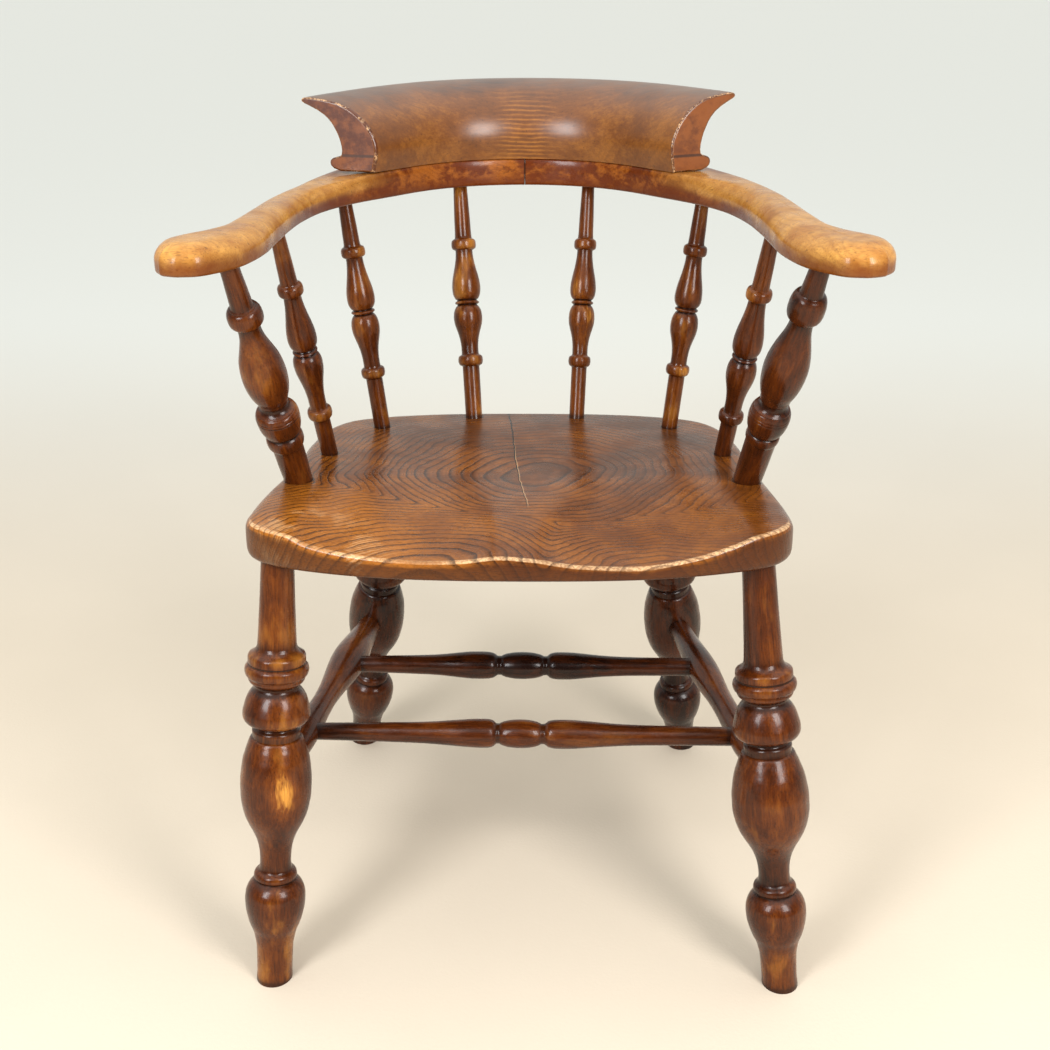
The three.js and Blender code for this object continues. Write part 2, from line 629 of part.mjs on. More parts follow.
function crestRing(bowShare) {
  const end = crestEnd(bowShare);
  const endShare = Math.abs(bowShare) / end.share;
  const height = THREE.MathUtils.lerp(CREST_HEIGHT_MIDDLE, end.height, endShare ** 2);
  const skewShare = THREE.MathUtils.smoothstep(endShare, CREST_SKEW_START_SHARE, 1);
  const skew = end.skew * skewShare * Math.sign(bowShare);
  const outwards = bowOutwards(bowShare).applyAxisAngle(new THREE.Vector3(0, 0, 1), -skew);
  const reach = CREST_REACH / Math.cos(skew);
  return CREST_SECTION_SHARES.map(([reachShare, heightShare]) => (
    bowInner(bowShare).addScaledVector(outwards, reachShare * reach).setZ(heightShare * height)
  ));
}

function makeCrestRail() {
  const rings = Array.from({ length: CREST_STEPS + 1 }, (_, i) => crestRing(
    THREE.MathUtils.lerp(-CREST_END_LEFT_SHARE, CREST_END_RIGHT_SHARE, i / CREST_STEPS),
  ));
  const cap = CREST_SECTION_SHARES.map((row) => new THREE.Vector2(
    row[0] * CREST_REACH,
    row[1] * CREST_HEIGHT_MIDDLE,
  ));
  const mesh = namedMesh('crest_rail', loft(rings, cap), crestElm());
  mesh.position.z = BOW_HEIGHT + BOW_THICKNESS + FIT_GAP;
  return mesh;
}

// Legs
const LEGS = {
  leg_front_left: {
    side: LEFT,
    placeShares: LEG_PLACE_FRONT_LEFT_SHARES,
    splay: FRONT_LEG_SPLAY_LEFT,
    rake: -FRONT_LEG_RAKE_LEFT,
    vaseDiameter: LEG_DIAMETER,
    featureShares: LEG_FEATURE_SHARES,
  },
  leg_front_right: {
    side: RIGHT,
    placeShares: LEG_PLACE_FRONT_RIGHT_SHARES,
    splay: FRONT_LEG_SPLAY_RIGHT,
    rake: -FRONT_LEG_RAKE_RIGHT,
    vaseDiameter: LEG_VASE_DIAMETER_FRONT_RIGHT,
    featureShares: LEG_FEATURE_FRONT_RIGHT_SHARES,
  },
  leg_back_left: {
    side: LEFT,
    placeShares: LEG_PLACE_BACK_LEFT_SHARES,
    splay: BACK_LEG_SPLAY_LEFT,
    rake: BACK_LEG_RAKE_LEFT,
    vaseDiameter: LEG_VASE_DIAMETER_BACK_LEFT,
    featureShares: LEG_FEATURE_SHARES,
  },
  leg_back_right: {
    side: RIGHT,
    placeShares: LEG_PLACE_BACK_RIGHT_SHARES,
    splay: BACK_LEG_SPLAY_RIGHT,
    rake: BACK_LEG_RAKE_RIGHT,
    vaseDiameter: LEG_DIAMETER,
    featureShares: LEG_FEATURE_BACK_RIGHT_SHARES,
  },
};

function legPattern({ vaseDiameter, featureShares }) {
  const fuller = (vaseDiameter / LEG_DIAMETER - LEG_VASE_FOOT_SHARE) / (1 - LEG_VASE_FOOT_SHARE);
  const inVase = (along) => along > LEG_VASE_RANGE_SHARES[0] && along < LEG_VASE_RANGE_SHARES[1];
  const pattern = LEG_PATTERN_SHARES.map(([along, across]) => [
    along,
    inVase(along) ? LEG_VASE_FOOT_SHARE + (across - LEG_VASE_FOOT_SHARE) * fuller : across,
  ]);
  return moveFeatures(pattern, LEG_FEATURE_SHARES, featureShares);
}

function legEnds({ side, placeShares, splay, rake }) {
  const top = onSeat(side, placeShares, -SEAT_THICKNESS);
  return { top, foot: new THREE.Vector3(top.x + side * splay, top.y + rake, 0) };
}

function makeLeg(name, leg) {
  const ends = legEnds(leg);
  const mesh = turnedPiece(
    name, turnedAsh(), LEG_SIDES, legPattern(leg), LEG_DIAMETER,
    ends.foot, ends.top, [CUT_OVERRUN, LEG_TENON],
  );
  const ground = new THREE.Mesh(new THREE.BoxGeometry(SEAT_HEIGHT, SEAT_HEIGHT, SEAT_HEIGHT));
  ground.position.set(ends.foot.x, ends.foot.y, -SEAT_HEIGHT / 2);
  cutFrom(mesh, ground.geometry, ground);
  mesh.userData.ends = ends;
  mesh.userData.vaseDiameter = leg.vaseDiameter;
  return mesh;
}

function makeLegs(seat) {
  return Object.entries(LEGS).map(([name, leg]) => {
    const mesh = makeLeg(name, leg);
    boreSocket(seat, mesh, 'end');
    return mesh;
  });
}

// Stretchers, between the surfaces of what they join
function makeStretcher(name, patternShares, diameter, tenon, joints) {
  const [from, to] = joints.map((joint) => joint.place);
  const span = from.distanceTo(to);
  const start = from.clone().lerp(to, joints[0].radius / span);
  const end = to.clone().lerp(from, joints[1].radius / span);
  const mesh = turnedPiece(
    name, turnedAsh(), STRETCHER_SIDES, patternShares, diameter, start, end, [tenon, tenon],
  );
  mesh.userData.axis = [from, to];
  mesh.userData.radiusAt = (share) => {
    const along = THREE.MathUtils.inverseLerp(joints[0].radius, span - joints[1].radius, share * span);
    return valueAt(patternShares, along) * diameter / 2;
  };
  boreSocket(joints[0].mesh, mesh, 'start');
  boreSocket(joints[1].mesh, mesh, 'end');
  return mesh;
}

function makeSideStretcher(name, patternShares, diameter, legs) {
  const joints = legs.map((leg) => {
    const { foot, top } = leg.userData.ends;
    const place = foot.clone().lerp(top, SIDE_STRETCHER_JOIN_SHARE);
    return { mesh: leg, place, radius: leg.userData.vaseDiameter / 2 };
  });
  return makeStretcher(name, patternShares, diameter, SIDE_STRETCHER_TENON, joints);
}

function makeCrossStretcher(name, featureShares, diameter, sides, joinShares) {
  const joints = sides.map((side, i) => {
    const [front, back] = side.userData.axis;
    const place = front.clone().lerp(back, joinShares[i]);
    return { mesh: side, place, radius: side.userData.radiusAt(joinShares[i]) };
  });
  const patternShares = moveFeatures(
    CROSS_STRETCHER_PATTERN_SHARES, CROSS_STRETCHER_FEATURE_SHARES, featureShares,
  );
  return makeStretcher(name, patternShares, diameter, CROSS_STRETCHER_TENON, joints);
}

function makeStretchers([frontLeft, frontRight, backLeft, backRight]) {
  const left = makeSideStretcher(
    'stretcher_side_left', SIDE_STRETCHER_PATTERN_LEFT_SHARES, SIDE_STRETCHER_DIAMETER_LEFT,
    [frontLeft, backLeft],
  );
  const right = makeSideStretcher(
    'stretcher_side_right', SIDE_STRETCHER_PATTERN_RIGHT_SHARES, SIDE_STRETCHER_DIAMETER_RIGHT,
    [frontRight, backRight],
  );
  const front = makeCrossStretcher(
    'stretcher_cross_front', CROSS_STRETCHER_FEATURE_FRONT_SHARES, CROSS_STRETCHER_DIAMETER_FRONT,
    [left, right], FRONT_CROSS_JOIN_SHARES,
  );
  const back = makeCrossStretcher(
    'stretcher_cross_back', CROSS_STRETCHER_FEATURE_BACK_SHARES, CROSS_STRETCHER_DIAMETER_BACK,
    [left, right], BACK_CROSS_JOIN_SHARES,
  );
  return [left, right, front, back];
}

// Arm posts and spindles
function makeUpright(name, side, place, patternShares, diameter, seat, arm) {
  const mesh = turnedPiece(
    name, turnedAsh(), UPRIGHT_SIDES, patternShares, diameter,
    onSeat(side, place.seatShares, 0), onBow(side * place.bowShare, place.acrossShare, BOW_HEIGHT),
    [SEAT_SOCKET_DEPTH, BOW_SOCKET_DEPTH],
  );
  boreSocket(seat, mesh, 'start');
  boreSocket(arm, mesh, 'end');
  return mesh;
}

function spindlePattern(kind) {
  return moveFeatures(SPINDLE_PATTERN_SHARES, SPINDLE_FEATURE_SHARES, SPINDLE_FEATURES_SHARES[kind]);
}

function makeUprights(sideName, side, postPatternShares, seat, arm) {
  const post = makeUpright(
    `arm_post_${sideName}`, side, ARM_POST_PLACES[sideName], postPatternShares, ARM_POST_DIAMETER,
    seat, arm,
  );
  const kinds = SPINDLE_KINDS.map((kind) => `${kind}_${sideName}`);
  const spindles = kinds.map((kind) => makeUpright(
    `spindle_${kind}`, side, SPINDLE_PLACES[kind], spindlePattern(kind), SPINDLE_DIAMETERS[kind],
    seat, arm,
  ));
  return [post, ...spindles];
}

// Fastenings
function cylinderRows(diameter, start, end) {
  return [[diameter / 2, start], [diameter / 2, end]];
}

function makeDowel(name, acrossShare, arms) {
  const middle = onBow(0, acrossShare, BOW_HEIGHT + BOW_THICKNESS / 2);
  const end = middle.clone().setX(DOWEL_LENGTH / 2);
  const half = DOWEL_LENGTH / 2;
  const geometry = turn(cylinderRows(DOWEL_DIAMETER, -half, half), FASTENER_SIDES);
  const mesh = standBetween(namedMesh(name, geometry, beech()), middle, end);
  const bore = turn(
    cylinderRows(DOWEL_DIAMETER + 2 * FIT_GAP, -half - FIT_GAP, half + FIT_GAP),
    FASTENER_SIDES,
  );
  arms.forEach((arm) => cutFrom(arm, bore, mesh));
  return mesh;
}

function screwRows(gap) {
  const head = SCREW_HEAD_DIAMETER / 2 + gap;
  const shank = SCREW_SHANK_DIAMETER / 2 + gap;
  const mouth = gap > 0 ? -CUT_OVERRUN : 0;
  return [[head, mouth], [head, gap], [shank, SCREW_HEAD_HEIGHT + gap], [shank, SCREW_LENGTH + gap]];
}

function makeScrew(name, bowShare, arms, crest) {
  const mesh = namedMesh(name, turn(screwRows(0), FASTENER_SIDES), steel());
  const reach = SCREW_REACH_SHARE * CREST_REACH;
  const place = bowInner(bowShare).addScaledVector(bowOutwards(bowShare), reach);
  mesh.position.copy(place.setZ(BOW_HEIGHT + SCREW_RECESS));
  const bore = turn(screwRows(FIT_GAP), FASTENER_SIDES);
  cutFrom(bowShare < 0 ? arms[0] : arms[1], bore, mesh);
  cutFrom(crest, bore, mesh);
  return mesh;
}

// The whole chair
function makeChair() {
  const seat = makeSeat();
  const wholeBow = makeWholeBow();
  const arms = [makeArm('arm_left', LEFT, wholeBow), makeArm('arm_right', RIGHT, wholeBow)];
  const crest = makeCrestRail();
  const legs = makeLegs(seat);
  const chair = new THREE.Group();
  chair.add(
    seat, ...arms, crest, ...legs, ...makeStretchers(legs),
    ...makeUprights('left', LEFT, ARM_POST_PATTERN_LEFT_SHARES, seat, arms[0]),
    ...makeUprights('right', RIGHT, ARM_POST_PATTERN_RIGHT_SHARES, seat, arms[1]),
    ...DOWEL_ACROSS_SHARES.map((share, i) => makeDowel(`bow_dowel_${i + 1}`, share, arms)),
    ...SCREW_BOW_SHARES.map((share, i) => makeScrew(`crest_screw_${i + 1}`, share, arms, crest)),
  );
  return chair;
}

// The origin is on the floor, under the middle of the chair's bounding box
function centreOnFloor(chair) {
  const box = new THREE.Box3().setFromObject(chair, true);
  const middle = box.getCenter(new THREE.Vector3());
  chair.position.set(-middle.x, -middle.y, -box.min.z);
  return chair;
}

export default centreOnFloor(makeChair());
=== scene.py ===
"""A captain's chair: a saddled elm seat on turned legs, with a sawn bow on turned spindles that is
both arms and back, and a scooped crest rail on the bow.

Sizes are in millimetres in the chair's own plan: its origin is on the floor under the middle of the
seat, the chair faces -Y and left is the -X side. Each mesh becomes metres in the part's frame as it
is placed.
"""

import logging
import math
from collections.abc import Callable, Sequence
from dataclasses import dataclass, field
from enum import Enum

import bmesh
import bpy
import numpy as np
from mathutils import Matrix, Vector

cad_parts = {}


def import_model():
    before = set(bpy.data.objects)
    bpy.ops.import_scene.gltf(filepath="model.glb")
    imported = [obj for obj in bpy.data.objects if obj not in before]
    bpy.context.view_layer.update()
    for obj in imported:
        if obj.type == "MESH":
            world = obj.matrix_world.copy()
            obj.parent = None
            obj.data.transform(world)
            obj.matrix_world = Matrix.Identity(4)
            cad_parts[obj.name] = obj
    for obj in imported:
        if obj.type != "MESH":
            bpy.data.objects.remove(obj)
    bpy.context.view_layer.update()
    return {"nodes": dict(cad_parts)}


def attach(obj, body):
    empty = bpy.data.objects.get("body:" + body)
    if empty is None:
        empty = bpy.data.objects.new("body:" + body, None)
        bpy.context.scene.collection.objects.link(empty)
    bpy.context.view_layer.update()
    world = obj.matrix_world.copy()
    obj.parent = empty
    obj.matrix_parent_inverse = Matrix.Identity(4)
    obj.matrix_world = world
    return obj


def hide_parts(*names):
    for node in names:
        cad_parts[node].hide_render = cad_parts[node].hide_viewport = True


LOG = logging.getLogger("captains_chair")
METRE = 0.001
# Where the plan's origin is in the part's frame.
PLACE = Vector((-2.715, -37.417, 0.0))
# Points that are closer than this, in metres, are one.
DOUBLES = 2e-6
# What is taken for nothing.
TINY = 1e-6
# What keeps a place inside the ends of a table.
NUDGE = 0.1
# A step along the bow that is short enough to tell its direction.
STEP = 0.0005
# A face with more corners than this is a sawn end.
SMALL_FACE = 8
# Noise lies mostly between these values.
USUAL_NOISE = (0.3, 0.7)

BODY = "root"

Pair = tuple[float, float]
Triple = tuple[float, float, float]
Socket = bpy.types.NodeSocket


class Side(Enum):
    """The two sides of the chair, as the photograph shows them."""

    LEFT = -1
    RIGHT = 1

    @property
    def word(self) -> str:
        """The side's name in a piece's name."""
        return self.name.lower()


class Slot(Enum):
    """The record's material slots for the pieces that are drawn here."""

    SEAT = "seat_elm"
    ARM = "arm_elm"
    CREST = "crest_elm"
    TURNED = "turned_ash"


# Curves and shares


def lerp(low: float, high: float, share: float) -> float:
    """The number that lies a share of the way from low to high."""
    return low + (high - low) * share


def smoothstep(value: float, start: float, end: float) -> float:
    """Rises smoothly from 0 at start to 1 at end."""
    share = min(max((value - start) / (end - start), 0.0), 1.0)
    return share * share * (3 - 2 * share)


def hill(across: float, along: float) -> float:
    """A round hill: 1 at the middle, 0 from a distance of 1 outwards."""
    distance = math.hypot(across, along)
    return (1 + math.cos(math.pi * distance)) / 2 if distance < 1 else 0.0


@dataclass
class Spline:
    """A centripetal Catmull-Rom curve through its points."""

    points: list[Vector]
    closed: bool = False

    def _around(self, index: int) -> Vector:
        """The point at an index, carried on past the ends of an open curve.

        Args:
            index: Which point.

        Returns:
            The point.
        """
        count = len(self.points)
        if self.closed:
            return self.points[index % count]
        if index < 0:
            return 2 * self.points[0] - self.points[1]
        if index >= count:
            return 2 * self.points[-1] - self.points[-2]
        return self.points[index]

    def at(self, share: float) -> Vector:
        """The point at a share of the way over the curve's points.

        Args:
            share: 0 at the first point and 1 at the last, or round to the first if closed.

        Returns:
            The point on the curve.
        """
        spans = len(self.points) if self.closed else len(self.points) - 1
        place = share * spans
        index = min(math.floor(place), spans - 1)
        weight = place - index
        p0, p1, p2, p3 = (self._around(index + step) for step in (-1, 0, 1, 2))
        d0, d1, d2 = (max((b - a).length, TINY) ** 0.5 for a, b in ((p0, p1), (p1, p2), (p2, p3)))
        t1 = ((p1 - p0) / d0 - (p2 - p0) / (d0 + d1) + (p2 - p1) / d1) * d1
        t2 = ((p2 - p1) / d1 - (p3 - p1) / (d1 + d2) + (p3 - p2) / d2) * d1
        c2 = 3 * (p2 - p1) - 2 * t1 - t2
        c3 = 2 * (p1 - p2) + t1 + t2
        return p1 + t1 * weight + c2 * weight**2 + c3 * weight**3

    def evenly(self, count: int, fine: int = 2000) -> list[Vector]:
        """Points at even distances along the curve, without the closing one if it is closed.

        Args:
            count: How many points.
            fine: How many steps to measure by.

        Returns:
            The points.
        """
        line = [self.at(i / fine) for i in range(fine + 1)]
        steps = [0.0] + [(b - a).length for a, b in zip(line, line[1:])]
        travelled = np.cumsum(steps)
        stops = np.linspace(0, travelled[-1], count, endpoint=not self.closed)
        shares = np.interp(stops, travelled, np.linspace(0, 1, fine + 1))
        return [self.at(float(share)) for share in shares]


def rounded(rows: Sequence[Pair], stops: np.ndarray) -> np.ndarray:
    """Values on a smooth curve through rows that never swings past them.

    Args:
        rows: Pairs of place and value, in order of place.
        stops: The places to give values for.

    Returns:
        The value at each stop.
    """
    x, y = np.array(rows, float).T
    step, slope = np.diff(x), np.diff(y) / np.diff(x)
    lean = np.zeros(len(x))
    lean[0], lean[-1] = slope[0], slope[-1]
    for i in range(1, len(x) - 1):
        if slope[i - 1] * slope[i] > 0:
            w1, w2 = 2 * step[i] + step[i - 1], step[i] + 2 * step[i - 1]
            lean[i] = (w1 + w2) / (w1 / slope[i - 1] + w2 / slope[i])
    at = np.clip(np.searchsorted(x, stops, side="right") - 1, 0, len(step) - 1)
    t = (stops - x[at]) / step[at]
    h00, h10 = 2 * t**3 - 3 * t**2 + 1, t**3 - 2 * t**2 + t
    h01, h11 = -2 * t**3 + 3 * t**2, t**3 - t**2
    return h00 * y[at] + h10 * step[at] * lean[at] + h01 * y[at + 1] + h11 * step[at] * lean[at + 1]


def moved(rows: Sequence[Pair], old: Sequence[float],
          new: Sequence[float]) -> list[Pair]:
    """A pattern whose features are moved along it.

    Args:
        rows: Pairs of place and size.
        old: The places of the features in the pattern.
        new: Their places on this piece.

    Returns:
        The moved pairs.
    """
    return [(float(np.interp(share, old, new)), size) for share, size in rows]


# Modelling by hand tools


def deselect() -> None:
    """Leaves edit mode and lets go of everything."""
    if bpy.context.object and bpy.context.object.mode != "OBJECT":
        bpy.ops.object.mode_set(mode="OBJECT")
    bpy.ops.object.select_all(action="DESELECT")


def pick(obj: bpy.types.Object) -> None:
    """Selects one piece alone and makes it the active one.

    Args:
        obj: The piece.
    """
    deselect()
    obj.select_set(True)
    bpy.context.view_layer.objects.active = obj


def edit(kind: str) -> None:
    """Opens the active piece for editing, with all of it selected.

    Args:
        kind: What is selected: "VERT", "EDGE" or "FACE".
    """
    bpy.ops.object.mode_set(mode="EDIT")
    bpy.ops.mesh.select_mode(type=kind)
    bpy.ops.mesh.select_all(action="SELECT")


def close_up() -> None:
    """Merges doubles, turns all faces outwards and leaves edit mode."""
    bpy.ops.mesh.select_all(action="SELECT")
    bpy.ops.mesh.remove_doubles(threshold=DOUBLES)
    bpy.ops.mesh.normals_make_consistent(inside=False)
    bpy.ops.object.mode_set(mode="OBJECT")


def smooth(obj: bpy.types.Object, degrees: float = 40) -> None:
    """Shades a piece smooth, with its sharper edges kept."""
    pick(obj)
    bpy.ops.object.shade_smooth_by_angle(angle=math.radians(degrees))


def placed(point: Vector) -> Vector:
    """A point of the chair's plan in the part's frame."""
    return (point + PLACE) * METRE


def in_plan(obj: bpy.types.Object) -> list[Vector]:
    """The piece's points in the chair's plan."""
    return [v.co / METRE - PLACE for v in obj.data.vertices]


def skin(name: str, rings: Sequence[Sequence[Vector]]) -> bpy.types.Object:
    """Extrudes a face from ring to ring, each new ring set on its points.

    Args:
        name: The new piece's name.
        rings: Rings of equal numbers of points in the chair's plan.

    Returns:
        The closed piece.
    """
    deselect()
    bpy.ops.mesh.primitive_circle_add(vertices=len(rings[0]), fill_type="NGON")
    obj = bpy.context.object
    obj.name = obj.data.name = name
    edit("FACE")
    mesh = bmesh.from_edit_mesh(obj.data)
    order = list(mesh.verts)
    for vert, point in zip(order, rings[0]):
        vert.co = placed(point)
    for ring in rings[1:]:
        bpy.ops.mesh.extrude_region_move()
        mesh = bmesh.from_edit_mesh(obj.data)
        mesh.verts.ensure_lookup_table()
        before = {vert.index: place for place, vert in enumerate(order)}
        order = [None] * len(ring)
        for vert in mesh.verts:
            if vert.select:
                others = (edge.other_vert(vert) for edge in vert.link_edges)
                foot = next(other for other in others if not other.select)
                order[before[foot.index]] = vert
        for vert, point in zip(order, ring):
            vert.co = placed(point)
    bmesh.update_edit_mesh(obj.data)
    close_up()
    return obj


def numbers(obj: bpy.types.Object, name: str, values: Sequence[float]) -> None:
    """Gives a piece one number at each of its points.

    Args:
        obj: The piece.
        name: The attribute that its finish reads.
        values: One number for each vertex.
    """
    layer = obj.data.attributes.new(name, "FLOAT", "POINT")
    layer.data.foreach_set("value", np.asarray(values, np.float32))


def grain_of(obj: bpy.types.Object, offset: Vector, name: str = "grain") -> None:
    """Keeps each point's own place in the uncut wood, before the piece is turned and placed.

    Args:
        obj: The piece.
        offset: What sets its wood apart.
        name: The places' name.
    """
    places = np.empty(len(obj.data.vertices) * 3, np.float32)
    obj.data.vertices.foreach_get("co", places)
    places = places.reshape(-1, 3) + np.array(offset, np.float32)
    layer = obj.data.attributes.new(name, "FLOAT_VECTOR", "POINT")
    layer.data.foreach_set("vector", places.ravel())


def dress(obj: bpy.types.Object, material: bpy.types.Material, slot: Slot, *nodes: str) -> None:
    """Gives a finished piece its material and its place in the part.

    Args:
        obj: The piece.
        material: Its finish.
        slot: The record's slot for that finish; not used.
        nodes: The solids that the piece stands for.
    """
    obj.data.materials.clear()
    obj.data.materials.append(material)
    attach(obj, BODY)
    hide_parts(*nodes)


# Finishes


@dataclass(frozen=True)
class Gloss:
    """How polished a finish is: how rough where smoothest and dullest, its shine and its wax."""

    rough: Pair
    specular: float
    coat: float
    coat_rough: float


class Graph:
    """A short hand for the nodes of one finish, or of the room's light."""

    def __init__(self, owner: bpy.types.Material | bpy.types.World) -> None:
        """Starts without any nodes.

        Args:
            owner: The material or the room's light.
        """
        owner.use_nodes = True
        self.owner = owner
        self.tree = owner.node_tree
        self.tree.nodes.clear()

    @classmethod
    def of_finish(cls, name: str) -> "Graph":
        """The nodes of a new material."""
        return cls(bpy.data.materials.new(name))

    def node(self, kind: str, inputs: dict | None = None, **settings: object) -> bpy.types.Node:
        """Adds a node.

        Args:
            kind: The node's type, without "ShaderNode".
            inputs: Values or sockets for its inputs, by name or number.
            settings: Its other settings.

        Returns:
            The new node.
        """
        node = self.tree.nodes.new("ShaderNode" + kind)
        for key, value in settings.items():
            setattr(node, key, value)
        for key, value in (inputs or {}).items():
            if isinstance(value, bpy.types.NodeSocket):
                self.tree.links.new(value, node.inputs[key])
            elif value is not None:
                node.inputs[key].default_value = value
        return node

    def attribute(self, name: str) -> Socket:
        """A number that the piece carries at each point."""
        return self.node("Attribute", attribute_name=name).outputs["Fac"]

    def place(self, name: str) -> Socket:
        """A place that the piece carries at each point."""
        return self.node("Attribute", attribute_name=name).outputs["Vector"]

    def split(self, vector: Socket) -> tuple[Socket, Socket, Socket]:
        """A place's three numbers."""
        return tuple(self.node("SeparateXYZ", {0: vector}).outputs)

    def math(self, operation: str, *values: object, clamp: bool = False) -> Socket:
        """One sum of numbers or sockets."""
        node = self.node("Math", dict(enumerate(values)), operation=operation, use_clamp=clamp)
        return node.outputs[0]

    def times(self, first: object, *others: object) -> Socket:
        """Numbers multiplied together.

        Args:
            first: A number.
            others: The other numbers.

        Returns:
            Their product.
        """
        for other in others:
            first = self.math("MULTIPLY", first, other)
        return first

    def total(self, start: object, *parts: tuple[Socket, float]) -> Socket:
        """A start with each part added to it, times the part's own weight.

        Args:
            start: The number to start from.
            parts: Values with weights.

        Returns:
            The sum.
        """
        for value, weight in parts:
            start = self.math("MULTIPLY_ADD", value, weight, start)
        return start

    def without(self, share: Socket) -> Socket:
        """What a share leaves of the whole."""
        return self.math("SUBTRACT", 1.0, share)

    def vector(self, operation: str, *values: object) -> Socket:
        """One sum of vectors, as a vector."""
        return self.node("VectorMath", dict(enumerate(values)), operation=operation).outputs[0]

    def length(self, vector: Socket) -> Socket:
        """The length of a vector."""
        return self.node("VectorMath", {0: vector}, operation="LENGTH").outputs["Value"]

    def noise(self, vector: Socket, scale: float, detail: float = 2, rough: float = 0.5,
              stretch: Triple | None = None) -> Socket:
        """Cloudy noise from 0 to 1, on a place that may be stretched first.

        Args:
            vector: The place.
            scale: How fine it is.
            detail: How many finer layers.
            rough: How strong they are.
            stretch: How much finer it is each way.

        Returns:
            The noise.
        """
        if stretch:
            vector = self.node("Mapping", {"Vector": vector, "Scale": stretch}).outputs[0]
        inputs = {"Vector": vector, "Scale": scale, "Detail": detail, "Roughness": rough}
        return self.node("TexNoise", inputs).outputs["Fac"]

    def clouds(self, vector: Socket, scale: float, detail: float = 2, rough: float = 0.5,
               stretch: Triple | None = None, levels: Pair = (0.0, 1.0)) -> Socket:
        """Noise with its usual values spread smoothly between two levels."""
        return self.span(self.noise(vector, scale, detail, rough, stretch), *USUAL_NOISE, *levels)

    def swirl(self, vector: Socket, scale: float, size: float, detail: float = 1) -> Socket:
        """A place pushed about by noise of a given scale, by up to about half of size.

        Args:
            vector: The place.
            scale: How fine the noise is.
            size: How strong it is.
            detail: How many finer layers.

        Returns:
            The new place.
        """
        noise = self.node("TexNoise", {"Vector": vector, "Scale": scale, "Detail": detail})
        centred = self.vector("SUBTRACT", noise.outputs["Color"], (0.5, 0.5, 0.5))
        push = self.node("VectorMath", {0: centred, "Scale": size}, operation="SCALE").outputs[0]
        return self.vector("ADD", vector, push)

    def span(self, value: Socket, start: float, end: float, low: float = 0.0,
             high: float = 1.0) -> Socket:
        """Maps start to end smoothly on to low to high, and no further."""
        inputs = {"Value": value, "From Min": start, "From Max": end, "To Min": low, "To Max": high}
        return self.node("MapRange", inputs, interpolation_type="SMOOTHSTEP").outputs[0]

    def flecks(self, pores: Socket, levels: Pair = (0.34, 0.46)) -> Socket:
        """The open pores: 1 where their noise is low."""
        return self.without(self.span(pores, *levels))

    def late_wood(self, ring: Socket, start: float, full: float, end: float) -> Socket:
        """The dark line of a growth ring, as shares of the ring.

        Args:
            ring: How much of a ring is past, from 0 to 1.
            start: Where the line starts.
            full: Where it is darkest.
            end: Where it begins to break off before the next ring.

        Returns:
            How dark the line is.
        """
        return self.times(self.span(ring, start, full), self.span(ring, 1.0, end))

    def ramp(self, value: Socket, *stops: tuple[float, Triple]) -> Socket:
        """A colour from a row of stops.

        Args:
            value: Where along the row.
            stops: Positions with colours.

        Returns:
            The colour.
        """
        node = self.node("ValToRGB", {0: value})
        points = node.color_ramp.elements
        while len(points) < len(stops):
            points.new(1.0)
        for point, (position, colour) in zip(points, stops):
            point.position = position
            point.color = self.opaque(colour)
        return node.outputs[0]

    def mix(self, share: object, first: object, second: object) -> Socket:
        """Two colours mixed."""
        inputs = {0: share, 6: self.opaque(first), 7: self.opaque(second)}
        return self.node("Mix", inputs, data_type="RGBA").outputs[2]

    def over(self, colour: Socket, tint: object, share: Socket, most: float) -> Socket:
        """A colour with a tint laid over it, at most so thickly."""
        return self.mix(self.math("MULTIPLY", share, most), colour, tint)

    @staticmethod
    def opaque(colour: object) -> object:
        """A plain colour with its fourth number, or a socket as it is."""
        return (*colour, 1) if isinstance(colour, tuple) else colour

    def bump(self, height: Socket, distance: float, strength: Socket | float = 1.0,
             under: Socket | None = None) -> Socket:
        """A surface normal roughened by a height."""
        inputs = {"Height": height, "Distance": distance, "Strength": strength, "Normal": under}
        return self.node("Bump", inputs).outputs[0]

    def finish(self, **inputs: object) -> bpy.types.Material:
        """Closes the material with its surface.

        Args:
            inputs: The surface's inputs, with _ for a space in their names.

        Returns:
            The material.
        """
        named = {key.replace("_", " "): value for key, value in inputs.items()}
        shader = self.node("BsdfPrincipled", named)
        self.node("OutputMaterial", {"Surface": shader.outputs[0]})
        return self.owner

    def polished(self, gloss: Gloss, colour: Socket, rough: Socket,
                 surface: Socket) -> bpy.types.Material:
        """Closes the material as polished wood.

        Args:
            gloss: How polished.
            colour: Its colour.
            rough: Its roughness.
            surface: Its surface normal.

        Returns:
            The material.
        """
        return self.finish(Base_Color=colour, Roughness=rough, Normal=surface,
                           Specular_IOR_Level=gloss.specular, Coat_Weight=gloss.coat,
                           Coat_Roughness=gloss.coat_rough)


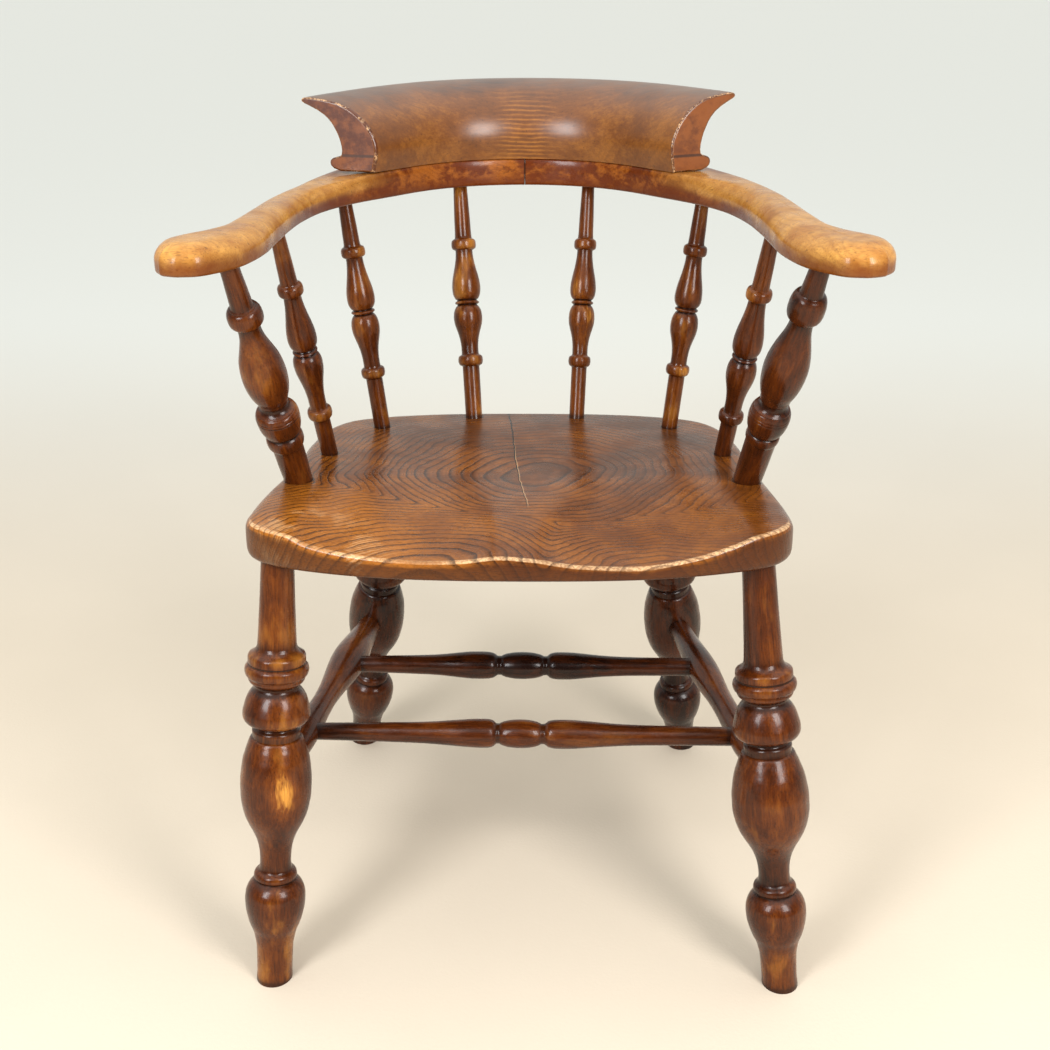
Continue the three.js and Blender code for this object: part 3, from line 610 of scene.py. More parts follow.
@dataclass(frozen=True)
class TurnedAsh:
    """Dark stained and polished turned wood: cloudy stain, rubbed crowns, and near-black painted
    shade in the hollows, the grooves and at the joint ends.
    """

    name: str
    dark: Triple = (0.012, 0.0035, 0.0018)
    middle: Triple = (0.068, 0.0145, 0.0021)
    light: Triple = (0.165, 0.042, 0.0046)
    worn: Triple = (0.6, 0.26, 0.04)
    wear: float = 0.4
    uneven: float = 0.3
    pore_depth: float = 0.5
    # How near-black the painted shade is in the hollows and the grooves.
    hollow_shade_depth: float = 0.72
    groove_shade_depth: float = 0.94
    gloss: Gloss = Gloss((0.2, 0.36), specular=0.16, coat=0.28, coat_rough=0.15)

    def make(self) -> bpy.types.Material:
        """Builds the material.

        Returns:
            The material.
        """
        g = Graph.of_finish(self.name)
        wood, wear, tone = g.place("grain"), g.attribute("wear"), g.attribute("tone")
        bent = g.swirl(wood, 16, 0.012)
        cloud = g.clouds(bent, 34, 4, 0.6, stretch=(1, 1, 0.38))
        broad = g.clouds(wood, 11, stretch=(1, 1, 0.6))
        streak = g.clouds(bent, 380, 3, 0.65, stretch=(1, 1, 0.05))
        pores = g.noise(wood, 1500, stretch=(1, 1, 0.05))
        shade = g.total(0.04, (cloud, 0.32), (broad, 0.18), (streak, 0.2), (tone, 0.4),
                        (wear, 0.06))
        stops = (0.08, self.dark), (0.4, self.middle), (0.74, self.light), (1.0, self.worn)
        colour = g.over(g.ramp(shade, *stops), self.dark, g.flecks(pores), self.pore_depth)
        rubbed = g.span(g.total(cloud, (tone, 0.5), (wear, 0.3)), 0.8, 1.5, high=self.wear)
        colour = g.mix(rubbed, colour, self.worn)
        # Painted shade: near-black where the wear mark falls below zero, in the hollows and at the
        # joint ends, and in the tool's grooves.
        hollow_and_end_shade = g.span(g.total(wear, (streak, 0.16)), -0.05, -0.8, high=self.hollow_shade_depth)
        groove_shade = g.span(g.attribute("groove_shade"), 0.1, 0.6, high=self.groove_shade_depth)
        colour = g.mix(g.math("MAXIMUM", hollow_and_end_shade, groove_shade), colour, self.dark)
        fine = g.bump(g.total(pores, (streak, 0.5)), 0.00016, 0.4)
        dents = g.noise(wood, 150, 3, 0.6, stretch=(1, 1, 0.5))
        dented = g.bump(dents, 0.0008, self.uneven, fine)
        surface = g.bump(g.noise(wood, 42), 0.0016, 0.3, dented)
        rough = g.span(g.noise(wood, 60, 4, 0.6), 0.3, 0.72, *self.gloss.rough)
        return g.polished(self.gloss, colour, rough, surface)


@dataclass(frozen=True)
class ArmElm:
    """The bow's elm: honey gold on the arms, dark red-brown and patchy round the back."""

    name: str
    dark: Triple = (0.03, 0.0085, 0.0028)
    back: Triple = (0.115, 0.022, 0.0032)
    patch: Triple = (0.29, 0.085, 0.0105)
    honey: Triple = (0.27, 0.094, 0.013)
    pale: Triple = (0.56, 0.28, 0.062)
    speck_depth: float = 0.5
    pore_depth: float = 0.4
    joint_depth: float = 0.85
    joint: Pair = (0.0013, 0.0006)
    gloss: Gloss = Gloss((0.22, 0.4), specular=0.2, coat=0.2, coat_rough=0.12)

    @staticmethod
    def _lines(g: Graph, wood: Socket) -> Socket:
        """The lines of the growth rings, which arch across the bow.

        Args:
            g: Its nodes.
            wood: The place in it.

        Returns:
            How dark they are.
        """
        x, y, z = g.split(g.swirl(g.swirl(wood, 8, 0.03), 40, 0.006, detail=2))
        arch = g.times(g.math("POWER", g.math("ADD", y, 0.05), 2), 420)
        ring = g.math("FRACT", g.total(arch, (z, 210), (x, 45)))
        return g.late_wood(ring, 0.45, 0.85, 0.88)

    def make(self) -> bpy.types.Material:
        """Builds the material.

        Returns:
            The material.
        """
        g = Graph.of_finish(self.name)
        wood, gold, low = g.place("grain"), g.attribute("wear"), g.attribute("low")
        cloud = g.clouds(wood, 26, 4, 0.62)
        mottle = g.clouds(g.swirl(wood, 60, 0.01), 95, 4, 0.66, stretch=(0.5, 1, 1))
        pores = g.noise(wood, 1200, 2, 0.55, stretch=(0.12, 1, 1))
        arms = g.mix(g.total(0.0, (cloud, 0.6), (mottle, 0.4)), self.honey, self.pale)
        patches = g.span(g.total(0.0, (mottle, 0.5), (cloud, 0.5)), 0.34, 0.8)
        behind = g.mix(patches, self.back, self.patch)
        colour = g.mix(g.span(gold, 0.15, 0.7), behind, arms)
        lines = g.times(self._lines(g, wood), g.span(cloud, 0.2, 1.0, 0.02, 0.24))
        colour = g.mix(lines, colour, self.back)
        specks = g.span(g.noise(wood, 210, 3, 0.7), 0.4, 0.3)
        colour = g.over(colour, self.dark, specks, self.speck_depth)
        colour = g.over(colour, self.dark, g.flecks(pores), self.pore_depth)
        border = g.span(g.total(low, (cloud, -0.25)), 0.0, 0.85, high=0.8)
        colour = g.mix(border, colour, self.back)
        across = g.math("ABSOLUTE", g.split(g.place("plan"))[0])
        colour = g.over(colour, self.dark, g.span(across, *self.joint), self.joint_depth)
        fine = g.bump(pores, 0.0002, 0.35)
        surface = g.bump(g.noise(wood, 55, 4, 0.6), 0.0011, 0.35, fine)
        rough = g.clouds(wood, 38, 4, 0.62, levels=self.gloss.rough)
        return g.polished(self.gloss, colour, rough, surface)


@dataclass(frozen=True)
class CrestElm:
    """The crest rail's polished elm: close stripes in the middle, smooth brown at both sides.

    Its heights and widths are in metres in the chair's own plan. The piece's wear is -1 on its sawn
    ends and 1 on their eased edges.
    """

    name: str
    dark: Triple = (0.035, 0.0095, 0.003)
    middle: Triple = (0.16, 0.049, 0.0055)
    light: Triple = (0.37, 0.14, 0.016)
    worn: Triple = (0.62, 0.36, 0.17)
    red: Triple = (0.055, 0.0065, 0.0006)
    orange: Triple = (0.2, 0.052, 0.004)
    stripe_pitch: float = 0.0045
    stripe_sides: Pair = (0.042, 0.01)
    stripe_top: Pair = (0.79, 0.757)
    # Painted shade along the top of the rail, to dim it where the light from overhead falls: from
    # where to where, in metres.
    top_shade: Pair = (0.755, 0.785)
    # A dark line of painted shadow across each sawn end, at the step over the roll: its height and
    # its reach, in metres.
    quirk_shadow_height: float = 0.7235
    quirk_shadow: Pair = (0.0022, 0.0006)
    sawn: Pair = (-0.2, -0.8)
    pore_depth: float = 0.35
    speck_depth: float = 0.6
    stain_depth: float = 0.9
    rim_depth: float = 0.7
    rubbed: float = 0.75
    gloss: Gloss = Gloss((0.36, 0.48), specular=0.3, coat=0.75, coat_rough=0.29)

    def _stripes(self, g: Graph, level: Socket, x: Socket, z: Socket) -> Socket:
        """The close stripes in the middle of the rail.

        Args:
            g: The material's nodes.
            level: The height in the uncut wood, a little bent.
            x: The way across the chair.
            z: The height above the floor.

        Returns:
            How pale the stripes are.
        """
        wave = g.math("SINE", g.times(level, math.tau / self.stripe_pitch))
        inside = g.span(g.math("ABSOLUTE", x), *self.stripe_sides)
        return g.times(g.span(wave, -0.4, 1), g.span(z, *self.stripe_top), inside)

    def _ends(self, g: Graph, colour: Socket, patch: Socket, x: Socket, z: Socket,
              sawn: Socket) -> Socket:
        """Stains the sawn ends, the left one redder, and paints the quirk over the roll as a dark
        line of painted shadow.

        Args:
            g: The material's nodes.
            colour: The rail's colour.
            patch: The clouds of the stain.
            x: The way across the chair.
            z: The height above the floor.
            sawn: 1 on the sawn ends.

        Returns:
            The colour with its ends.
        """
        stained = g.span(g.total(patch, (x, -1.3)), 0.15, 1.0)
        colour = g.over(colour, g.mix(stained, self.orange, self.red), sawn, self.stain_depth)
        # Painted shadow: a dark line across each sawn end, where the scoop steps back over the
        # roll.
        off = g.math("ABSOLUTE", g.math("SUBTRACT", z, self.quirk_shadow_height))
        quirk_shadow = g.span(off, *self.quirk_shadow, high=self.stain_depth)
        return g.mix(g.times(sawn, quirk_shadow), colour, self.dark)

    def make(self) -> bpy.types.Material:
        """Builds the material.

        Returns:
            The material.
        """
        g = Graph.of_finish(self.name)
        wood, wear = g.place("grain"), g.attribute("wear")
        x, _, z = g.split(g.place("plan"))
        _, depth, level = g.split(g.swirl(wood, 14, 0.012, detail=2))
        cloud = g.clouds(wood, 24, 4, 0.62, stretch=(0.55, 1, 1))
        mottle = g.span(g.noise(wood, 90, 4, 0.66), 0.34, 0.68)
        fibre = g.clouds(wood, 420, 3, 0.6, stretch=(0.06, 1, 1))
        pores = g.noise(wood, 1300, 2, 0.55, stretch=(0.1, 1, 1))
        # The top of the rail is painted darker: painted shade where the light from overhead falls
        # on it.
        stripes, top = self._stripes(g, level, x, z), g.span(z, *self.top_shade)
        shade = g.total(0.22, (cloud, 0.24), (mottle, 0.08), (fibre, 0.1), (stripes, 0.24),
                        (top, -0.16))
        stops = (0.05, self.dark), (0.4, self.middle), (0.78, self.light), (1.0, self.worn)
        ring = g.math("FRACT", g.total(0.0, (depth, 120), (level, 95)))
        lines = g.times(g.late_wood(ring, 0.5, 0.9, 0.92), g.span(cloud, 0.2, 0.9, 0.03, 0.16))
        colour = g.mix(lines, g.ramp(shade, *stops), self.dark)
        colour = g.over(colour, self.dark, g.flecks(pores), self.pore_depth)
        specks = g.span(g.noise(wood, 240, 3, 0.7), 0.36, 0.29)
        colour = g.over(colour, self.dark, specks, self.speck_depth)
        patch = g.total(0.0, (cloud, 0.5), (mottle, 0.5))
        colour = self._ends(g, colour, patch, x, z, g.span(wear, *self.sawn))
        rim = g.span(wear, 0.3, 0.9)
        chips = g.span(g.noise(wood, 480, 3, 0.6), 0.44, 0.56)
        broken = g.span(g.noise(wood, 75, 3, 0.6), 0.44, 0.6)
        colour = g.over(colour, self.red, rim, self.rim_depth)
        colour = g.over(colour, self.worn, g.times(rim, chips, broken), self.rubbed)
        fine = g.bump(pores, 0.00016, 0.35)
        edge = g.bump(g.times(broken, rim), 0.0014, 0.8, fine)
        gouged = g.span(wear, *self.sawn, low=0.32, high=0.8)
        surface = g.bump(g.noise(wood, 60, 4, 0.6), 0.0009, gouged, edge)
        rim_rough = g.span(wear, 0.2, 0.8, low=1.0, high=0.45)
        sawn_rough = g.span(wear, *self.sawn, low=1.0, high=1.6)
        rough = g.times(g.clouds(wood, 45, 4, 0.6, levels=self.gloss.rough), rim_rough, sawn_rough)
        return g.polished(self.gloss, colour, rough, surface)


@dataclass(frozen=True)
class HiddenFinish:
    """A plain but uneven finish for what is hidden in the joints."""

    name: str
    low: Triple
    high: Triple
    metallic: float = 0.0
    stretch: Triple = (1, 1, 1)
    rough: Pair = (0.4, 0.6)

    def make(self) -> bpy.types.Material:
        """Builds the material.

        Returns:
            The material.
        """
        g = Graph.of_finish(self.name)
        cloud = g.noise(g.node("TexCoord").outputs["Object"], 420, 3, stretch=self.stretch)
        rough = g.span(cloud, *USUAL_NOISE, *self.rough)
        return g.finish(Base_Color=g.mix(cloud, self.low, self.high), Roughness=rough,
                        Metallic=self.metallic, Normal=g.bump(cloud, 0.0003, 0.4))


# The seat


@dataclass
class Seat:
    """The saddled plank seat."""

    width: float = 500
    depth: float = 431
    thickness: float = 34.5
    height: float = 440
    tilt: float = 0.05
    dish: float = 10
    dish_reach: Pair = (0.86, 0.82)
    dish_lost: float = 0.55
    fall_reach: float = 0.95
    fall_power: float = 0.8
    around: int = 260
    top_rings: tuple = ((0.985, 0.82, 9), (0.78, 0.02, 26))
    soft_from: Pair = (-178, -120)
    dark_edge: Pair = (2, 7)
    ridge_below: Pair = (2.9, 1.1)
    ridge_inside: Pair = (7.5, 4)
    ridge_from: Pair = (-100, -170)
    outline_front: tuple = ((0.25, 0.004), (0.48, 0.016), (0.7, 0.042), (0.85, 0.072))
    outline_corner: dict = field(default_factory=lambda: {
        Side.LEFT: (
            (0.93, 0.1), (0.978, 0.133), (1, 0.178), (1, 0.235), (0.984, 0.335), (0.95, 0.46)),
        Side.RIGHT: ((0.92, 0.102), (0.96, 0.14), (0.975, 0.187), (0.975, 0.24), (0.963, 0.33),
                     (0.941, 0.46)),
    })
    outline_back: tuple = (
        (0.925, 0.58), (0.912, 0.72), (0.865, 0.855), (0.79, 0.92), (0.66, 0.958), (0.4, 0.99),
    )
    front_edge: tuple = (
        (0.0, 5.2), (0.02, 3.4), (0.06, 1.9), (0.12, 0.8), (0.2, 0.2), (0.3, 0.0), (0.6, 0.0),
        (0.86, 0.0), (0.905, 0.15), (0.94, 0.5), (0.966, 1.05), (0.985, 1.75), (0.996, 2.6),
        (1.0, 3.8),
    )
    side_edge: tuple = (
        (0.0, 5.2), (0.02, 3.4), (0.06, 1.9), (0.12, 0.8), (0.2, 0.2), (0.3, 0.0), (0.48, 0.0),
        (0.62, 0.2), (0.74, 0.9), (0.835, 2.3), (0.905, 4.4), (0.955, 7.2), (0.988, 10.4),
        (1.0, 14.0),
    )
    front_drop: tuple = (
        (-250, 0), (-205, 2), (-189, 8), (-155, 13.5), (-120, 16), (-87, 17), (-53, 15.5),
        (-19, 11.5), (7, 13.5), (49, 20), (100, 22.5), (151, 16.5), (185, 8), (205, 2), (250, 0),
    )
    rim: list[Vector] = field(init=False)

    def __post_init__(self) -> None:
        """Draws the plank's outline."""
        self.rim = Spline(self._outline(), closed=True).evenly(self.around)

    def plan(self, side: float, shares: Pair) -> Vector:
        """A place in the seat's plan from shares of half its width and of its depth."""
        return Vector((side * shares[0] * self.width / 2, (shares[1] - 0.5) * self.depth, 0))

    def sunk(self, x: float, y: float) -> float:
        """How far the worn top lies below the plank's own surface.

        Args:
            x: A place to the right, in mm.
            y: A place backwards, in mm.

        Returns:
            The depth in mm.
        """
        half_width, half_depth = self.width / 2, self.depth / 2
        across, along = self.dish_reach
        dish = self.dish * hill(x / (across * half_width), y / (along * half_depth))
        first, last = self.front_drop[0][0] + NUDGE, self.front_drop[-1][0] - NUDGE
        front = float(rounded(self.front_drop, np.array([min(max(x, first), last)]))[0])
        behind = (y + half_depth) / (self.fall_reach * half_depth)
        ease = (hill(0, behind) if behind > 0 else 1.0) ** self.fall_power
        return dish * (1 - self.dish_lost * ease) + front * ease

    def tilted(self, point: Vector) -> Vector:
        """A point of the level plank in the chair's plan."""
        turned = Matrix.Rotation(-self.tilt, 3, "X") @ point
        return turned + Vector((0, 0, self.height))

    def on_top(self, place: Vector) -> Vector:
        """The point of the worn top over a place in the plan."""
        return self.tilted(Vector((place.x, place.y, -self.sunk(place.x, place.y))))

    def top(self, side: float, shares: Pair) -> Vector:
        """A point on the worn top."""
        return self.on_top(self.plan(side, shares))

    def underside(self, side: float, shares: Pair) -> Vector:
        """A point on the underside."""
        place = self.plan(side, shares)
        return self.tilted(Vector((place.x, place.y, -self.thickness)))

    def build(self) -> bpy.types.Object:
        """Extrudes the plank level by level and then in over the dished top.

        Returns:
            The plank.
        """
        rim, inwards = self.rim, []
        for i, point in enumerate(rim):
            ahead = rim[(i + 1) % len(rim)] - rim[i - 1]
            inwards.append(Vector((-ahead.y, ahead.x, 0)).normalized())
        rings, inner = [], rim
        for front, side in zip(self.front_edge, self.side_edge):
            ring, inner = [], []
            for point, inward in zip(rim, inwards):
                soft = smoothstep(point.y, *self.soft_from)
                place = point + inward * lerp(front[1], side[1], soft)
                top = -self.sunk(place.x, place.y)
                height = lerp(-self.thickness, top, lerp(front[0], side[0], soft))
                inner.append(place)
                ring.append(self.tilted(Vector((place.x, place.y, height))))
            rings.append(ring)
        for share in np.concatenate([np.linspace(*steps) for steps in self.top_rings]):
            rings.append([self.on_top(place * float(share)) for place in inner])
        return skin("seat_plank", rings)

    def _outline(self) -> list[Vector]:
        """The plank's outline, from the middle of the front round by the right side.

        Returns:
            Its points.
        """
        halves = {
            side: [self.plan(side.value, shares)
                   for shares in (*self.outline_front, *self.outline_corner[side],
                                  *self.outline_back)]
            for side in Side
        }
        front, back = self.plan(1, (0, 0)), self.plan(1, (0, 1))
        return [front, *halves[Side.RIGHT], back, *reversed(halves[Side.LEFT])]

    def make(self, sockets: tuple) -> bpy.types.Object:
        """Builds the seat and gives it its wear and its finish.

        Args:
            sockets: The places and radii of the uprights that stand in it.

        Returns:
            The seat.
        """
        seat = self.build()
        grain_of(seat, Vector((0, 0, 0)))
        places = in_plan(seat)
        numbers(seat, "wear", [self._worn(p) for p in places])
        numbers(seat, "low", [smoothstep(self._below(p), *self.dark_edge) for p in places])
        smooth(seat, degrees=50)
        dress(seat, SeatElm("seat elm", sockets).make(), Slot.SEAT, "seat")
        return seat

    def _worn(self, place: Vector) -> float:
        """How far the polish has gone from the ridge of the front edge.

        Args:
            place: The place in the plan.

        Returns:
            0 where polished and 1 where worn through.
        """
        below = smoothstep(self._below(place), *self.ridge_below)
        inside = smoothstep(self._inside(place), *self.ridge_inside)
        return smoothstep(place.y, *self.ridge_from) * below * inside

    def _below(self, place: Vector) -> float:
        """How far a place lies below the worn top."""
        shares = (abs(place.x) / (self.width / 2), 0.5 + place.y / self.depth)
        return self.top(math.copysign(1, place.x), shares).z - place.z

    def _inside(self, place: Vector) -> float:
        """How far a place lies from the plank's outline."""
        return min(math.hypot(p.x - place.x, p.y - place.y) for p in self.rim)


@dataclass(frozen=True)
class Layers:
    """Growth layers that the dish cuts into rounds about one centre, all in metres."""

    centre: Triple
    stretch: Triple
    per_metre: float
    fewer: float = 0.0

    def count(self, g: Graph, place: Socket) -> Socket:
        """The layers from the centre out to a place."""
        away = g.vector("MULTIPLY", g.vector("SUBTRACT", place, self.centre), self.stretch)
        return g.math("SUBTRACT", g.times(g.length(away), self.per_metre), self.fewer)


@dataclass(frozen=True)
class SeatElm:
    """The seat's elm, whose fine growth lines the dish has cut into ovals and arches.

    Its sockets are the places where uprights stand in it, each with its radius in metres. Its wear
    is 1 on the rubbed ridge of the front edge, and low is 1 on the plank's own edge.
    """

    name: str
    sockets: tuple = ()
    dark: Triple = (0.022, 0.0065, 0.002)
    middle: Triple = (0.15, 0.043, 0.0055)
    light: Triple = (0.34, 0.112, 0.011)
    worn: Triple = (0.72, 0.46, 0.24)
    front: Triple = (0.05, 0.0105, 0.001)
    # The near-black of the painted shade inside the drying crack.
    gap: Triple = (0.006, 0.003, 0.002)
    rounds: tuple = (
        Layers((0.013, -0.027, 0), (1.0, 1.06, 0.25), 150),
        Layers((-0.093, -0.267, 0), (0.8, 1.0, 0.25), 205, fewer=9.0),
        Layers((0.127, -0.297, 0), (0.8, 1.0, 0.25), 250, fewer=17.6),
    )
    meeting: float = 1.6
    swirls: tuple = ((7, 0.055, 1), (28, 0.011, 2), (120, 0.0016, 1))
    waves: int = 3
    # Painted shade round the feet of the uprights: where it begins and where it is darkest, in
    # metres from them.
    socket_shade: Pair = (0.0032, 0.0004)
    socket_shade_depth: float = 0.8
    pore_depth: float = 0.42
    crack_end: Pair = (-0.132, -0.115)
    crack_width: Pair = (0.0003, 0.0009)
    lip_width: Pair = (0.0002, 0.0006)
    gloss: Gloss = Gloss((0.22, 0.36), specular=0.25, coat=0.1, coat_rough=0.12)

    def _layers(self, g: Graph, wood: Socket) -> Socket:
        """The count of growth layers: ovals in the middle, arches from the front at each side.

        Args:
            g: Its nodes.
            wood: The place in it.

        Returns:
            The count.
        """
        for scale, size, detail in self.swirls:
            wood = g.swirl(wood, scale, size, detail)
        nearest, *others = (rounds.count(g, wood) for rounds in self.rounds)
        for other in others:
            nearest = g.math("SMOOTH_MIN", nearest, other, self.meeting)
        return nearest

    @staticmethod
    def _off_crack(g: Graph, wood: Socket) -> Socket:
        """The way across from the drying crack, which runs from the back edge past the middle.

        Args:
            g: Its nodes.
            wood: The place in it.

        Returns:
            The way, in metres.
        """
        x, y, _ = g.split(wood)
        lean = g.math("MULTIPLY_ADD", y, -0.0757, -0.0082)
        belly = g.math("POWER", g.times(g.math("ADD", y, 0.012), 10.0), 2)
        bend = g.math("SUBTRACT", 1.0, belly, clamp=True)
        jog = g.math("SUBTRACT", g.noise(wood, 90), 0.5)
        return g.math("SUBTRACT", x, g.total(lean, (bend, -0.0023), (jog, 0.0026)))

    def _crack(self, g: Graph, wood: Socket) -> tuple[Socket, Socket]:
        """The drying crack, wider towards the back and painted near-black as the shade in its gap,
        and its
        pale lip: a chip with a painted highlight along it.

        Args:
            g: Its nodes.
            wood: The place in it.

        Returns:
            The crack's painted shade, and its lip with its chip and painted highlight.
        """
        y, off = g.split(wood)[1], self._off_crack(g, wood)
        end = g.span(y, *self.crack_end)
        narrow, wide = self.crack_width
        width = g.span(y, -0.1, 0.14, low=narrow, high=wide)
        crack = g.without(g.span(g.math("DIVIDE", g.math("ABSOLUTE", off), width), 0.4, 1.0))
        beside = g.math("ABSOLUTE", g.math("SUBTRACT", off, wide))
        lip = g.without(g.span(beside, *self.lip_width))
        return g.times(crack, end), g.times(lip, end, g.span(y, 0.1, 0.0, high=0.42))

    def _socket_shade(self, g: Graph, wood: Socket) -> Socket:
        """The painted shade in the corners round the uprights, where they stand in the seat.

        Args:
            g: Its nodes.
            wood: The place in it.

        Returns:
            How dark the painted shade is.
        """
        nearest = None
        for place, radius in self.sockets:
            away = g.math("SUBTRACT", g.length(g.vector("SUBTRACT", wood, place)), radius)
            nearest = away if nearest is None else g.math("MINIMUM", nearest, away)
        return g.span(nearest, *self.socket_shade)

    def _polish(self, g: Graph, wood: Socket, layers: Socket, cloud: Socket, low: Socket) -> Socket:
        """The colour between the lines: palest at the left front, dark red on the edge.

        Args:
            g: The material's nodes.
            wood: The place in it.
            layers: The count of growth layers.
            cloud: The stain's clouds.
            low: 1 on the plank's own edge.

        Returns:
            The colour.
        """
        x, y, _ = g.split(wood)
        left, front = g.span(x, 0.05, -0.22), g.span(y, -0.02, -0.2)
        both, either = g.times(left, front), g.math("MAXIMUM", left, front)
        waves = g.math("SINE", g.times(layers, math.tau * self.waves))
        shade = g.total(0.2, (cloud, 0.3), (both, 0.3), (waves, 0.035), (either, 0.1))
        stops = (0.05, self.dark), (0.38, self.middle), (0.8, self.light), (1.0, self.worn)
        border = g.span(g.total(low, (cloud, -0.2)), 0.0, 0.7, high=0.8)
        return g.mix(border, g.ramp(shade, *stops), self.front)

    @staticmethod
    def _boldness(g: Graph, wood: Socket, low: Socket) -> Socket:
        """How boldly the lines are drawn: in gritty patches, fainter right and on the edge.

        Args:
            g: Its nodes.
            wood: The place in it.
            low: How far down the edge.

        Returns:
            How bold they are.
        """
        patch = g.span(g.noise(wood, 14), 0.28, 0.6, low=0.5, high=0.95)
        grit = g.span(g.noise(wood, 520, 3, 0.65), 0.36, 0.6)
        gritty = g.span(grit, 0, 1, low=0.62, high=1.0)
        edge = g.span(low, 0, 1, low=1.0, high=0.5)
        right = g.span(g.split(wood)[0], 0.02, 0.14, low=1.0, high=0.72)
        return g.times(patch, gritty, edge, right)

    @staticmethod
    def _rubbed(g: Graph, wood: Socket, wear: Socket, line: Socket) -> Socket:
        """Where the front ridge is rubbed pale, in chips and between the lines.

        Args:
            g: Its nodes.
            wood: The place in it.
            wear: How worn the ridge is.
            line: How dark the lines are.

        Returns:
            How pale it is.
        """
        chips = g.span(g.noise(wood, 420, 3, 0.6), 0.42, 0.58)
        uneven = g.span(g.noise(wood, 26, 3), 0.34, 0.56, low=0.3, high=1)
        ridge = g.times(g.span(wear, 0.4, 0.95), uneven)
        return g.times(ridge, g.total(0.36, (chips, 0.4)), g.total(1.0, (line, -0.6)))

    def make(self) -> bpy.types.Material:
        """Builds the material.

        Returns:
            The material.
        """
        g = Graph.of_finish(self.name)
        wood, wear, low = g.place("grain"), g.attribute("wear"), g.attribute("low")
        layers = self._layers(g, wood)
        line = g.late_wood(g.math("FRACT", layers), 0.55, 0.86, 0.93)
        cloud = g.clouds(wood, 17, 4, 0.6)
        fibre = g.noise(wood, 1100, 2, 0.6, stretch=(0.16, 1, 1))
        colour = self._polish(g, wood, layers, cloud, low)
        colour = g.mix(g.times(line, self._boldness(g, wood, low)), colour, self.dark)
        colour = g.over(colour, self.dark, g.flecks(fibre, (0.36, 0.5)), self.pore_depth)
        colour = g.mix(self._rubbed(g, wood, wear, line), colour, self.worn)
        # Painted shade in the corners round the uprights.
        colour = g.over(colour, self.dark, self._socket_shade(g, wood), self.socket_shade_depth)
        # The crack is painted near-black as the shade in its gap; its lip is a pale chip with a
        # painted highlight.
        crack, lip = self._crack(g, wood)
        colour = g.mix(crack, g.mix(lip, colour, self.worn), self.gap)
        fine = g.bump(g.total(fibre, (line, -0.9)), 0.0002, 0.5)
        dents = g.bump(g.noise(wood, 60, 4, 0.6), 0.0012, 0.34, fine)
        surface = g.bump(g.without(crack), 0.0015, 1.0, dents)
        smoother = g.span(wear, 0.2, 0.9, low=1.0, high=0.6)
        rough = g.times(g.clouds(wood, 30, 4, 0.6, levels=self.gloss.rough), smoother)
        return g.polished(self.gloss, colour, rough, surface)


# The bow


